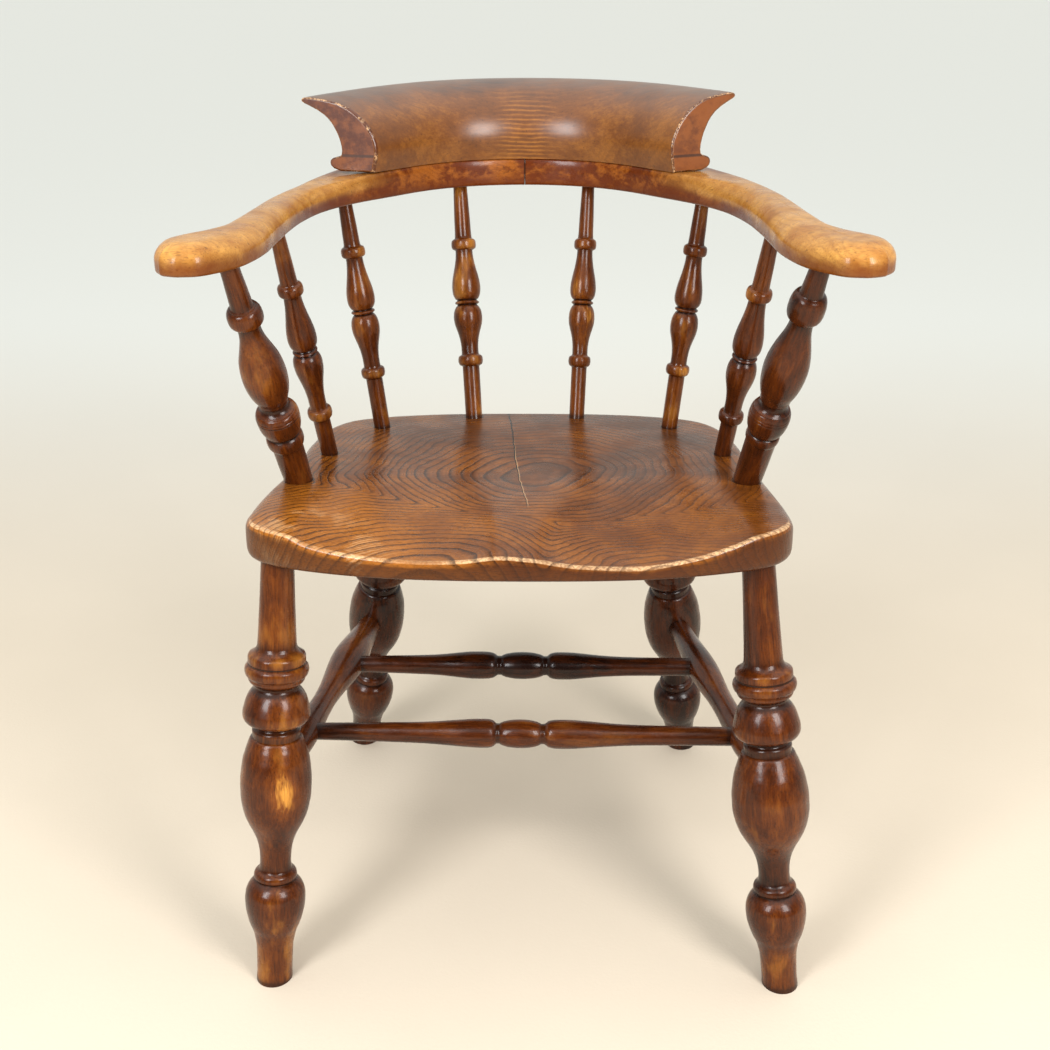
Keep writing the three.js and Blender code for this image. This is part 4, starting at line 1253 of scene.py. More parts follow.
@dataclass
class Bow:
    """The sawn bow: two halves butted behind the sitter, each with a hand at its front end."""

    width: float = 606
    depth: float = 507
    thickness: float = 28
    height: float = 679
    setback: float = 11
    arm_thickness: dict = field(default_factory=lambda: {Side.LEFT: 23.5, Side.RIGHT: 24})
    thins_over: dict = field(default_factory=lambda: {
        Side.LEFT: (0.185, 0.37), Side.RIGHT: (0.39, 0.785),
    })
    left_narrows: Pair = (0.215, 0.355)
    left_narrowest: float = 0.9
    hand_over: Pair = (0.6, 0.8)
    hand_drop: float = 2
    hand_draw: float = 0.45
    half_joint: float = 0.15
    spine_end: float = 0.83
    inner_rounds: Pair = (0.265, 0.43)
    outer_rounds: Pair = (0.2, 0.3)
    squarer_over: Pair = (0.72, 0.9)
    squarer: float = 0.6
    tip_start: float = 0.96
    tip_steps: tuple = (0.2, 0.4, 0.6, 0.8)
    stations: tuple = (
        (0, 0.899, 0, 1), (0.182, 0.879, 0.224, 0.982), (0.33, 0.823, 0.429, 0.93),
        (0.462, 0.732, 0.594, 0.843), (0.568, 0.653, 0.746, 0.716), (0.647, 0.565, 0.792, 0.605),
        (0.69, 0.458, 0.83, 0.478), (0.706, 0.353, 0.85, 0.363), (0.712, 0.254, 0.868, 0.274),
        (0.716, 0.175, 0.891, 0.208), (0.736, 0.115, 0.934, 0.173), (0.766, 0.069, 0.977, 0.141),
        (0.809, 0.03, 1, 0.093), (0.851, 0.006, 0.99, 0.042), (0.904, 0, 0.957, 0.012),
    )
    edge: tuple = (
        (0.0, 0.07, 0.08), (0.015, 0.045, 0.05), (0.05, 0.015, 0.02), (0.1, 0.0, 0.0),
        (0.25, 0.0, 0.0), (0.42, 0.0, 0.0), (0.52, 0.014, 0.0), (0.61, 0.055, 0.0),
        (0.7, 0.12, 0.0), (0.78, 0.205, 0.003), (0.85, 0.31, 0.01), (0.905, 0.41, 0.02),
        (0.95, 0.53, 0.035), (0.98, 0.66, 0.055), (0.995, 0.81, 0.08), (1.0, 0.97, 0.11),
    )
    seat_depth: float = 431
    steps: int = 84
    crowding: float = 1.35
    dark_below: float = 21
    gold_from: Pair = (225, 60)
    gold_top: Pair = (684, 697)
    gold_sides: Pair = (0.2, 0.8)
    gold_sides_from: Pair = (60, -120)
    plank: float = 0.11
    inner: Spline = field(init=False)
    outer: Spline = field(init=False)

    def __post_init__(self) -> None:
        """Draws the two edges of the bow."""
        self.inner, self.outer = self._edge(0), self._edge(2)

    def _edge(self, column: int) -> Spline:
        """One edge of the whole bow from the left hand to the right.

        Args:
            column: Which column of the outline's rows.

        Returns:
            The edge.
        """
        front = -self.seat_depth / 2 + self.setback
        right = [
            Vector((row[column] * self.width / 2, front + row[column + 1] * self.depth, 0))
            for row in self.stations
        ]
        left = [Vector((-p.x, p.y, 0)) for p in right[:0:-1]]
        return Spline(left + right)

    def inner_at(self, share: float) -> Vector:
        """The inner edge at a share of the way from the middle (0) to a hand (1 or -1)."""
        return self.inner.at((1 + share) / 2)

    def outer_at(self, share: float) -> Vector:
        """The outer edge, which draws in a little along the left arm."""
        narrowing = lerp(1, self.left_narrowest, smoothstep(-share, *self.left_narrows))
        return self.inner_at(share).lerp(self.outer.at((1 + share) / 2), narrowing)

    def outwards_at(self, share: float) -> Vector:
        """The way out from the inner edge, level."""
        ahead = self.inner_at(share + STEP) - self.inner_at(share - STEP)
        return Vector((-ahead.y, ahead.x, 0)).normalized()

    def thickness_at(self, share: float) -> float:
        """The thickness at a share of the way to a hand.

        Args:
            share: The share.

        Returns:
            The thickness in mm.
        """
        side = Side.LEFT if share < 0 else Side.RIGHT
        thinned = smoothstep(abs(share), *self.thins_over[side])
        return lerp(self.thickness, self.arm_thickness[side], thinned)

    def on(self, share: float, across: float, height: float) -> Vector:
        """A point across the bow at a height above the floor."""
        point = self.inner_at(share).lerp(self.outer_at(share), across)
        return Vector((point.x, point.y, height))

    def _spine_at(self, share: float) -> Vector:
        """The middle line of the bow, which stops short of the ends of the hands."""
        inside = min(max(share, -self.spine_end), self.spine_end)
        return self.inner_at(inside).lerp(self.outer_at(inside), 0.5)

    def _shares(self) -> list[float]:
        """Places from the middle to the hand, closer together round the hand's end."""
        return [float(1 - (1 - s) ** self.crowding) for s in np.linspace(0, 1, self.steps)]

    def _rounding(self, share: float, over: Pair) -> float:
        """How rounded the edge is: square behind, round at the arms, squarer at the hands."""
        fullest = lerp(1, self.squarer, smoothstep(abs(share), *self.squarer_over))
        return fullest * smoothstep(abs(share), *over)

    def _rim(self, side: Side) -> list[tuple[float, Vector, float]]:
        """One half's outline, as shares along the bow, points and how rounded the edge is there.

        Args:
            side: Which half.

        Returns:
            The outline.
        """
        shares = [side.value * s for s in self._shares()]
        near, tip = self.tip_start * side.value, side.value
        end = Spline([self.inner_at(near), self.inner_at(tip),
                      self.outer_at(tip), self.outer_at(near)])
        inner = [(s, self.inner_at(s), self._rounding(s, self.inner_rounds)) for s in shares]
        round_tip = self._rounding(tip, self.outer_rounds)
        tips = [(tip, end.at((1 + step) / 3), round_tip) for step in self.tip_steps]
        outer = [(s, self.outer_at(s), self._rounding(s, self.outer_rounds))
                 for s in reversed(shares)]
        return inner + tips + outer

    def build_arm(self, side: Side) -> bpy.types.Object:
        """Extrudes one half of the bow level by level, in over its rounded top.

        Args:
            side: Which half.

        Returns:
            The half.
        """
        rim = self._rim(side)
        if side is Side.RIGHT:
            rim.reverse()
        rings = []
        for level, arm_share, back_share in self.edge:
            ring = []
            for share, edge, rounding in rim:
                hand = smoothstep(abs(share), *self.hand_over)
                point = edge.lerp(self._spine_at(share), lerp(back_share, arm_share, rounding))
                point.x += side.value * (self.half_joint - self.hand_draw * hand)
                low, high = -self.hand_drop * hand, self.thickness_at(share)
                point.z = self.height + lerp(low, high, level)
                ring.append(point)
            rings.append(ring)
        return skin(f"arm_half_{side.word}", rings)

    def make(self) -> list[bpy.types.Object]:
        """Builds both halves and gives them their wear and their finish.

        Returns:
            The halves.
        """
        finish = ArmElm("arm elm").make()
        halves = []
        for side in Side:
            half = self.build_arm(side)
            grain_of(half, Vector((0, self.plank * side.value, 0)))
            grain_of(half, -PLACE * METRE, "plan")
            places = in_plan(half)
            low = (self.height + self.dark_below, self.height)
            numbers(half, "wear", [self._gold(p) for p in places])
            numbers(half, "low", [smoothstep(p.z, *low) for p in places])
            smooth(half, degrees=50)
            dress(half, finish, Slot.ARM, f"arm_{side.word}")
            halves.append(half)
        return halves

    def _gold(self, place: Vector) -> float:
        """Honey gold on the arms and hands, darker behind and on the inner faces.

        Args:
            place: The place in the plan.

        Returns:
            How pale it is.
        """
        ahead = smoothstep(place.y, *self.gold_from)
        sides = lerp(*self.gold_sides, smoothstep(place.y, *self.gold_sides_from))
        return ahead * lerp(sides, 1.0, smoothstep(place.z, *self.gold_top))


# The crest rail


@dataclass
class CrestRail:
    """The scooped crest rail, swept along the bow's inner edge."""

    bow: Bow
    reach: float = 68
    middle: float = 80
    height: dict = field(default_factory=lambda: {Side.LEFT: 73, Side.RIGHT: 77})
    end: dict = field(default_factory=lambda: {Side.LEFT: 0.2465, Side.RIGHT: 0.243})
    skew: dict = field(default_factory=lambda: {Side.LEFT: 0.45, Side.RIGHT: 0.26})
    skew_over: Pair = (0.6, 1)
    gap: float = 0.3
    steps: int = 72
    eased: float = 0.0022
    eased_steps: int = 4
    rim: float = 2.1
    flush: float = 0.05
    plank: Triple = (0.4, 0.1, 0)
    foot: tuple = ((0.0, 0.0), (0.47, 0.0))
    back: tuple = (
        (0.575, 0.037), (0.615, 0.075), (0.625, 0.118), (0.615, 0.155), (0.585, 0.182),
        (0.53, 0.2), (0.478, 0.213), (0.455, 0.235), (0.446, 0.285), (0.452, 0.35), (0.467, 0.42),
        (0.49, 0.49), (0.525, 0.565), (0.562, 0.635), (0.61, 0.7), (0.675, 0.762), (0.76, 0.818),
        (0.86, 0.87), (0.955, 0.912), (0.99, 0.935), (1.0, 0.962), (0.98, 0.988), (0.93, 0.999),
    )
    front: tuple = (
        (0.84, 0.995), (0.69, 0.977), (0.57, 0.956), (0.47, 0.93), (0.39, 0.898), (0.32, 0.86),
        (0.245, 0.81), (0.175, 0.755), (0.112, 0.69), (0.06, 0.62), (0.018, 0.55), (-0.015, 0.48),
        (-0.04, 0.41), (-0.053, 0.33), (-0.05, 0.245), (-0.036, 0.16), (-0.018, 0.08),
    )

    def _ring(self, share: float) -> list[Vector]:
        """The section at a share of the way along the bow.

        Args:
            share: The share.

        Returns:
            The section's points.
        """
        side = Side.LEFT if share < 0 else Side.RIGHT
        along = abs(share) / self.end[side]
        height = lerp(self.middle, self.height[side], along**2)
        skew = self.skew[side] * smoothstep(along, *self.skew_over) * side.value
        outwards = Matrix.Rotation(-skew, 3, "Z") @ self.bow.outwards_at(share)
        reach = self.reach / math.cos(skew)
        base = self.bow.inner_at(share)
        base.z = self.bow.height + self.bow.thickness + self.gap
        return [
            base + outwards * (u * reach) + Vector((0, 0, v * height))
            for u, v in self.foot + self.back + self.front
        ]

    def build(self) -> bpy.types.Object:
        """Extrudes the section along the bow and eases the edges of its sawn ends.

        Returns:
            The rail.
        """
        low, high = -self.end[Side.LEFT], self.end[Side.RIGHT]
        shares = [lerp(low, high, i / self.steps) for i in range(self.steps + 1)]
        crest = skin("crest", [self._ring(share) for share in shares])
        pick(crest)
        edit("FACE")
        bpy.ops.mesh.select_all(action="DESELECT")
        mesh = bmesh.from_edit_mesh(crest.data)
        for face in mesh.faces:
            face.select = len(face.verts) > SMALL_FACE
        bpy.ops.mesh.bevel(offset=self.eased, segments=self.eased_steps, profile=0.5,
                           affect="EDGES", loop_slide=True)
        bpy.ops.object.mode_set(mode="OBJECT")
        return crest

    def make(self) -> bpy.types.Object:
        """Builds the rail and gives it its wear and its finish.

        Returns:
            The rail.
        """
        crest = self.build()
        grain_of(crest, Vector(self.plank))
        grain_of(crest, -PLACE * METRE, "plan")
        numbers(crest, "wear", [self._worn(p) for p in in_plan(crest)])
        smooth(crest, degrees=32)
        for face in crest.data.polygons:
            face.use_smooth = len(face.vertices) <= SMALL_FACE
        dress(crest, CrestElm("crest elm").make(), Slot.CREST, "crest_rail")
        return crest

    def _worn(self, place: Vector) -> float:
        """Marks the sawn ends (-1), their eased edges (1) and the rest of the rail (0).

        Args:
            place: The place in the plan.

        Returns:
            The mark.
        """
        side = Side.LEFT if place.x < 0 else Side.RIGHT
        foot, far = self._ring(side.value * self.end[side])[:2]
        plane = Vector((far.y - foot.y, foot.x - far.x, 0)).normalized()
        depth = abs((place - foot).dot(plane))
        if depth < self.flush:
            return -1.0
        return 1.0 if depth < self.rim else 0.0


# Turned pieces


@dataclass
class Turning:
    """One piece turned round its own axis, between two points.

    Its rows are pairs of a share of its length and a thickness there, and its tails are how far it
    goes on past its two ends.
    """

    name: str
    node: str
    start: Vector
    end: Vector
    rows: Sequence[Pair]
    tails: Pair
    seed: int
    tone: Callable[[float, float], float] | float = 0.0
    sides: int = 48
    fine: int = 150
    stops: int = 600
    apart: float = 3
    broad: float = 9
    crown: float = 3.2
    # How far from each end, in mm, the painted shadow at the joints reaches.
    end_shade_reach: float = 3.5
    tool: float = 1.6
    cut: float = 0.5

    def build(self) -> bpy.types.Object:
        """Extrudes the half profile point by point, spins it and stands it in its place.

        Returns:
            The turned piece.
        """
        span = (self.end - self.start).length
        stops = [row[0] for row in self.rows]
        shares = np.unique(np.concatenate((np.linspace(0, 1, self.fine), stops)))
        radii = rounded(self.rows, shares) / 2
        heights = np.concatenate(([-self.tails[0]], shares * span, [span + self.tails[1]]))
        radii = np.concatenate(([radii[0]], radii, [radii[-1]]))
        line = [(0.0, heights[0]), *zip(radii, heights), (0.0, heights[-1])]
        deselect()
        bpy.ops.mesh.primitive_plane_add(size=METRE)
        obj = bpy.context.object
        obj.name = obj.data.name = self.name
        edit("VERT")
        bpy.ops.mesh.merge(type="CENTER")
        bpy.ops.transform.translate(value=(0, 0, line[0][1] * METRE))
        for (r0, h0), (r1, h1) in zip(line, line[1:]):
            step = ((r1 - r0) * METRE, 0, (h1 - h0) * METRE)
            bpy.ops.mesh.extrude_region_move(TRANSFORM_OT_translate={"value": step})
        bpy.ops.mesh.select_all(action="SELECT")
        bpy.ops.mesh.spin(steps=self.sides, angle=math.tau, center=(0, 0, 0), axis=(0, 0, 1))
        close_up()
        self._mark(obj, heights, radii)
        self._stand(obj)
        return obj

    def _mark(self, obj: bpy.types.Object, heights: np.ndarray, radii: np.ndarray) -> None:
        """Notes the grain, the crowns and hollows with the painted shadow at the ends, the grooves
        and the tone at each point.

        Args:
            obj: The piece.
            heights: The profile's heights.
            radii: The profile's radii.
        """
        offset = np.random.default_rng(self.seed).uniform(-self.apart, self.apart, 3)
        grain_of(obj, Vector([float(x) for x in offset]))
        places = [v.co / METRE for v in obj.data.vertices]
        level = np.array([p.z for p in places])
        stops = np.linspace(heights[0], heights[-1], self.stops)
        shape, step = np.interp(stops, heights, radii), stops[1] - stops[0]
        crowns = np.clip((shape - self._without_rings(shape, step)) / self.crown, -1, 1)
        # Painted shadow, with a dark joint, where the piece goes into what holds it: the wear mark
        # falls towards -1 at both ends.
        ends = np.abs(level), np.abs(level - (self.end - self.start).length)
        end_shade = sum(np.exp(-end / self.end_shade_reach) for end in ends)
        numbers(obj, "wear", np.clip(np.interp(level, stops, crowns) - end_shade, -1, 1))
        numbers(obj, "groove_shade", np.interp(level, stops, self._grooves(shape, step)))
        if callable(self.tone):
            tones = [self.tone(p.z / heights[-1], math.atan2(p.y, p.x)) for p in places]
        else:
            tones = [self.tone] * len(places)
        numbers(obj, "tone", tones)

    def _without_rings(self, shape: np.ndarray, step: float) -> np.ndarray:
        """The profile's radii as a soft broad mean, for stops that are a step apart.

        Args:
            shape: The profile's radii.
            step: The step.

        Returns:
            The mean's radii.
        """
        width = self.broad / step
        kernel = np.exp(-0.5 * (np.arange(-3 * width, 3 * width + 1) / width) ** 2)
        edge = int(3 * width) + 1
        padded = np.pad(shape, edge, mode="edge")
        return np.convolve(padded, kernel / kernel.sum(), mode="same")[edge:][:len(shape)]

    def _grooves(self, shape: np.ndarray, step: float) -> np.ndarray:
        """How deep a tool's cut is between its two banks, from 0 to 1.

        Args:
            shape: The profile's radii.
            step: The step.

        Returns:
            The depths.
        """
        near = max(int(self.tool / step), 1)
        padded = np.pad(shape, near, mode="edge")
        banks = np.minimum(padded[:len(shape)], padded[2 * near:])
        return np.clip(np.maximum(banks - shape, 0) / self.cut, 0, 1)

    def _stand(self, obj: bpy.types.Object) -> None:
        """Turns the piece from upright to its own slope and sets it in its place.

        Args:
            obj: The piece.
        """
        way = (self.end - self.start).normalized()
        turn = Vector((0, 0, 1)).rotation_difference(way).to_matrix().to_4x4()
        pick(obj)
        obj.matrix_world = Matrix.Translation(placed(self.start)) @ turn
        bpy.ops.object.transform_apply(location=True, rotation=True, scale=True)


def turn_all(turnings: Sequence[Turning], finish: bpy.types.Material) -> list[bpy.types.Object]:
    """Turns and dresses pieces that share a finish.

    Args:
        turnings: What is to be turned.
        finish: The pieces' finish.

    Returns:
        The pieces.
    """
    pieces = []
    for turning in turnings:
        piece = turning.build()
        smooth(piece)
        dress(piece, finish, Slot.TURNED, turning.node)
        pieces.append(piece)
    return pieces


LEG_ROWS = (
    (0, 34.2), (0.02, 33.3), (0.05, 33.8), (0.082, 34.8), (0.10, 36.9), (0.122, 41.1),
    (0.14, 47), (0.163, 52.5), (0.185, 55.8), (0.203, 56.7), (0.218, 55.7), (0.23, 52.6),
    (0.239, 48.4), (0.2455, 43.6), (0.2485, 40.4), (0.2505, 37.9), (0.253, 38.1), (0.2555, 39.9),
    (0.2605, 40.3), (0.266, 39.3), (0.2695, 37.4), (0.2715, 34.6), (0.274, 31.8), (0.279, 30),
    (0.294, 28.9), (0.31, 29.3),
    (0.332, 31.5), (0.352, 35.9), (0.372, 43), (0.391, 51), (0.41, 57.5), (0.43, 61.8),
    (0.46, 65.2), (0.488, 65.8), (0.52, 64), (0.545, 61), (0.56, 57.5), (0.574, 54),
    (0.583, 51.2), (0.59, 49.2), (0.5935, 47.2), (0.5955, 44), (0.602, 43.9), (0.611, 44.6),
    (0.6145, 43), (0.6175, 39.6), (0.621, 38.7), (0.6245, 41), (0.6275, 48), (0.632, 55),
    (0.6385, 59.6), (0.647, 61.8), (0.656, 61.6), (0.668, 59.4), (0.687, 54.6), (0.696, 51),
    (0.703, 47), (0.708, 43), (0.7125, 40.9), (0.717, 41.4), (0.721, 45), (0.725, 49),
    (0.7305, 51.4),
    (0.734, 51.2), (0.7365, 52.6), (0.742, 56.6), (0.752, 58.4), (0.759, 57.4), (0.7635, 54.4),
    (0.7655, 51.6), (0.768, 51.5), (0.7705, 52.6), (0.783, 52.4), (0.7875, 50.8), (0.7895, 47.6),
    (0.793, 43), (0.799, 38.6), (0.8065, 35.9), (0.825, 34.8),
    (0.86, 33.5), (0.907, 31.9), (0.96, 30.5), (1, 29.5),
)
LEG_FEATURES = (0, 0.203, 0.293, 0.488, 0.621, 0.715, 0.752, 0.8, 1)


@dataclass(frozen=True)
class LegPlace:
    """Where a leg stands in the seat, how it leans, how full it is and where its features are."""

    shares: Pair
    splay: float
    rake: float
    fuller: float = 0.0
    features: tuple = LEG_FEATURES


@dataclass(frozen=True)
class WornPatch:
    """A pale rubbed patch: how pale, and its place and reach round a piece and along it."""

    pale: float
    turn: float
    turn_reach: float
    share: float
    share_reach: float

    def at(self, share: float, turn: float) -> float:
        """How pale the patch is at a place."""
        across = (turn - self.turn) / self.turn_reach
        return self.pale * hill(across, (share - self.share) / self.share_reach)


@dataclass(frozen=True)
class LegTone:
    """How pale a leg is all over and towards its foot, and its worn patch."""

    overall: float
    foot: float = 0.0
    foot_shares: Pair = (0.19, 0.07)
    patch: WornPatch | None = None

    def at(self, share: float, turn: float) -> float:
        """How pale the leg is at a share of its height and a turn round its axis."""
        worn = self.patch.at(share, turn) if self.patch else 0.0
        return worn + self.foot * smoothstep(share, *self.foot_shares) + self.overall


@dataclass
class Legs:
    """The four turned legs."""

    seat: Seat
    tenon: float = 20
    over: float = 12
    vase: float = 66
    vase_middle: float = 0.455
    vase_reach: float = 0.165
    vase_ends: Pair = (0.293, 0.6)
    sides: int = 64
    fine: int = 200
    first_seed: int = 11
    places: dict = field(default_factory=lambda: {
        ("front", Side.LEFT): LegPlace((0.876, 0.132), 20, -60.5),
        ("front", Side.RIGHT): LegPlace(
            (0.842, 0.132), 36, -67, 6, (0, 0.182, 0.272, 0.462, 0.592, 0.688, 0.722, 0.768, 1)),
        ("back", Side.LEFT): LegPlace((0.583, 0.78), 54.5, 88.5, -2),
        ("back", Side.RIGHT): LegPlace(
            (0.6, 0.78), 44.5, 78.5, 0, (0, 0.19, 0.281, 0.483, 0.617, 0.713, 0.75, 0.8, 1)),
    })
    tones: dict = field(default_factory=lambda: {
        ("front", Side.LEFT): LegTone(
            0.12, 0.5, (0.19, 0.07), WornPatch(1.3, -1.22, 0.66, 0.462, 0.078)),
        ("front", Side.RIGHT): LegTone(0.02, 0.4, (0.15, 0.05)),
        ("back", Side.LEFT): LegTone(-0.4),
        ("back", Side.RIGHT): LegTone(-0.4),
    })

    def ends(self, row: str, side: Side) -> tuple[Vector, Vector]:
        """The foot and the top of one leg's axis.

        Args:
            row: Front or back.
            side: Left or right.

        Returns:
            The foot and the top.
        """
        place = self.places[row, side]
        top = self.seat.underside(side.value, place.shares)
        return Vector((top.x + side.value * place.splay, top.y + place.rake, 0)), top

    def _rows(self, row: str, side: Side) -> list[Pair]:
        """The pattern of one leg, with its own vase and with its features in their own places.

        Args:
            row: Front or back.
            side: Left or right.

        Returns:
            The pattern.
        """
        place = self.places[row, side]
        start, end = self.vase_ends
        rows = []
        for share, size in LEG_ROWS:
            swelling = hill(0, (share - self.vase_middle) / self.vase_reach)
            rows.append((share, size + place.fuller * (swelling if start < share < end else 0.0)))
        return moved(rows, LEG_FEATURES, place.features)

    def vase_radius(self, row: str, side: Side) -> float:
        """Half the greatest thickness of a leg, where its side stretcher meets it."""
        return (self.vase + self.places[row, side].fuller) / 2

    @staticmethod
    def _level(leg: bpy.types.Object) -> None:
        """Saws a leg's foot level with the floor.

        Args:
            leg: The leg.
        """
        pick(leg)
        edit("FACE")
        bpy.ops.mesh.bisect(plane_co=(0, 0, 0), plane_no=(0, 0, 1), use_fill=True,
                            clear_inner=True, threshold=TINY)
        bpy.ops.object.mode_set(mode="OBJECT")

    def make(self, fine: bpy.types.Material, coarse: bpy.types.Material) -> list[bpy.types.Object]:
        """Turns the legs and saws their feet level with the floor.

        Args:
            fine: The front left leg's finish.
            coarse: The other legs' finish.

        Returns:
            The four legs.
        """
        legs = []
        for number, (row, side) in enumerate(self.places):
            foot, top = self.ends(row, side)
            turned = Turning(f"{row}_leg_{side.word}", f"leg_{row}_{side.word}", foot, top,
                             self._rows(row, side), (self.over, self.tenon),
                             self.first_seed + 2 * number, self.tones[row, side].at,
                             self.sides, self.fine)
            leg = turned.build()
            self._level(leg)
            smooth(leg)
            finish = fine if (row, side) == ("front", Side.LEFT) else coarse
            dress(leg, finish, Slot.TURNED, turned.node)
            legs.append(leg)
        return legs


@dataclass
class Stretchers:
    """One stretcher along each side, and two across between them."""

    legs: Legs
    join: float = 0.488
    side_tenon: float = 20
    cross_tenon: float = 11
    sides: int = 40
    side_seed: int = 31
    cross_seed: int = 41
    pattern_fullness: float = 28.5
    cross_joins: dict = field(default_factory=lambda: {
        "front": {Side.LEFT: 0.249, Side.RIGHT: 0.235},
        "back": {Side.LEFT: 0.649, Side.RIGHT: 0.645},
    })
    cross_radii: dict = field(default_factory=lambda: {
        "front": {Side.LEFT: 14.2, Side.RIGHT: 14.1},
        "back": {Side.LEFT: 18.2, Side.RIGHT: 15.7},
    })
    cross_fullness: dict = field(default_factory=lambda: {"front": 28.5, "back": 29.7})
    side_rows: dict = field(default_factory=lambda: {
        Side.LEFT: (
            (0, 24.7), (0.06, 26.6), (0.132, 28.5), (0.17, 28.8), (0.206, 28.5), (0.25, 26.8),
            (0.292, 25), (0.34, 23.6), (0.39, 23), (0.43, 23.5), (0.475, 25), (0.52, 27.3),
            (0.561, 30), (0.604, 33), (0.647, 35.5), (0.69, 37.1), (0.72, 37.5), (0.755, 36.8),
            (0.794, 35), (0.83, 32.8), (0.868, 30.5), (0.92, 27.9), (0.966, 26), (1, 25.5),
        ),
        Side.RIGHT: (
            (0, 25), (0.06, 26.8), (0.124, 28.5), (0.16, 28.6), (0.198, 28), (0.24, 26.5),
            (0.285, 25), (0.34, 24), (0.396, 23.8), (0.45, 24.7), (0.495, 26.3), (0.53, 27.9),
            (0.569, 29.5), (0.61, 30.9), (0.656, 31.5), (0.7, 31.1), (0.743, 30), (0.79, 28.3),
            (0.842, 26.5), (0.9, 25), (0.965, 24), (1, 23.7),
        ),
    })
    cross_rows: tuple = (
        (0, 17), (0.1, 18.2), (0.2, 19.9), (0.245, 21), (0.28, 22.5), (0.31, 24.3), (0.34, 26.2),
        (0.365, 27.7), (0.385, 28.4), (0.4, 28.5), (0.414, 28.1), (0.424, 26.8), (0.43, 24.8),
        (0.434, 22), (0.438, 19.9), (0.445, 19.8), (0.449, 21.5), (0.456, 23.8), (0.467, 25.9),
        (0.482, 27.5), (0.5, 28.1), (0.518, 27.5), (0.533, 25.9), (0.544, 23.8), (0.551, 21.5),
        (0.555, 19.8), (0.562, 19.9), (0.566, 22), (0.57, 24.8), (0.576, 26.8), (0.586, 28.1),
        (0.6, 28.5), (0.615, 28.4), (0.635, 27.7), (0.66, 26.2), (0.69, 24.3), (0.72, 22.5),
        (0.755, 21), (0.8, 19.8), (0.9, 18.8), (1, 18.5),
    )
    cross_features: tuple = (0, 0.385, 0.441, 0.5, 0.559, 0.615, 1)
    cross_tone: dict = field(default_factory=lambda: {"front": -0.05, "back": -0.5})
    cross_places: dict = field(default_factory=lambda: {
        "front": (0, 0.39, 0.437, 0.493, 0.548, 0.61, 1),
        "back": (0, 0.342, 0.422, 0.493, 0.564, 0.631, 1),
    })

    def _axis(self, side: Side) -> tuple[Vector, Vector]:
        """The points where a side stretcher's axis meets the legs' axes."""
        front, back = (self.legs.ends(row, side) for row in ("front", "back"))
        return front[0].lerp(front[1], self.join), back[0].lerp(back[1], self.join)

    @staticmethod
    def _between(ends: tuple[Vector, Vector], radii: Pair) -> tuple[Vector, Vector]:
        """The ends of a stretcher, on the surfaces of what it joins.

        Args:
            ends: The ends on the axes of what it joins.
            radii: How far their surfaces are from them.

        Returns:
            The ends.
        """
        start, end = ends
        way = (end - start).normalized()
        return start + way * radii[0], end - way * radii[1]

    def _side(self, side: Side) -> Turning:
        """One side stretcher, from leg to leg.

        Args:
            side: Left or right.

        Returns:
            The turning.
        """
        radii = tuple(self.legs.vase_radius(row, side) for row in ("front", "back"))
        start, end = self._between(self._axis(side), radii)
        return Turning(f"side_stretcher_{side.word}", f"stretcher_side_{side.word}", start, end,
                       self.side_rows[side], (self.side_tenon,) * 2, self.side_seed + side.value,
                       sides=self.sides)

    def _cross(self, row: str, seed: int) -> Turning:
        """One cross stretcher, from side stretcher to side stretcher.

        Args:
            row: Front or back.
            seed: The seed of its grain.

        Returns:
            The turning.
        """
        joins = self.cross_joins[row]
        axes = {side: self._axis(side) for side in Side}
        ends = tuple(axes[side][0].lerp(axes[side][1], joins[side]) for side in Side)
        start, end = self._between(ends, tuple(self.cross_radii[row][side] for side in Side))
        scale = self.cross_fullness[row] / self.pattern_fullness
        rows = [(share, size * scale) for share, size in self.cross_rows]
        rows = moved(rows, self.cross_features, self.cross_places[row])
        return Turning(f"cross_stretcher_{row}", f"stretcher_cross_{row}", start, end, rows,
                       (self.cross_tenon,) * 2, seed, self.cross_tone[row], self.sides)

    def make(self, finish: bpy.types.Material) -> list[bpy.types.Object]:
        """Turns the four stretchers.

        Args:
            finish: The finish.

        Returns:
            The stretchers.
        """
        turnings = [self._side(side) for side in Side]
        for number, row in enumerate(self.cross_joins):
            turnings.append(self._cross(row, self.cross_seed + number))
        return turn_all(turnings, finish)


@dataclass(frozen=True)
class UprightPlace:
    """Where an upright stands in the seat and ends in the bow, and how it is turned."""

    seat_shares: Pair
    bow_share: float
    across: float
    fullness: float = 0.0
    features: tuple = ()


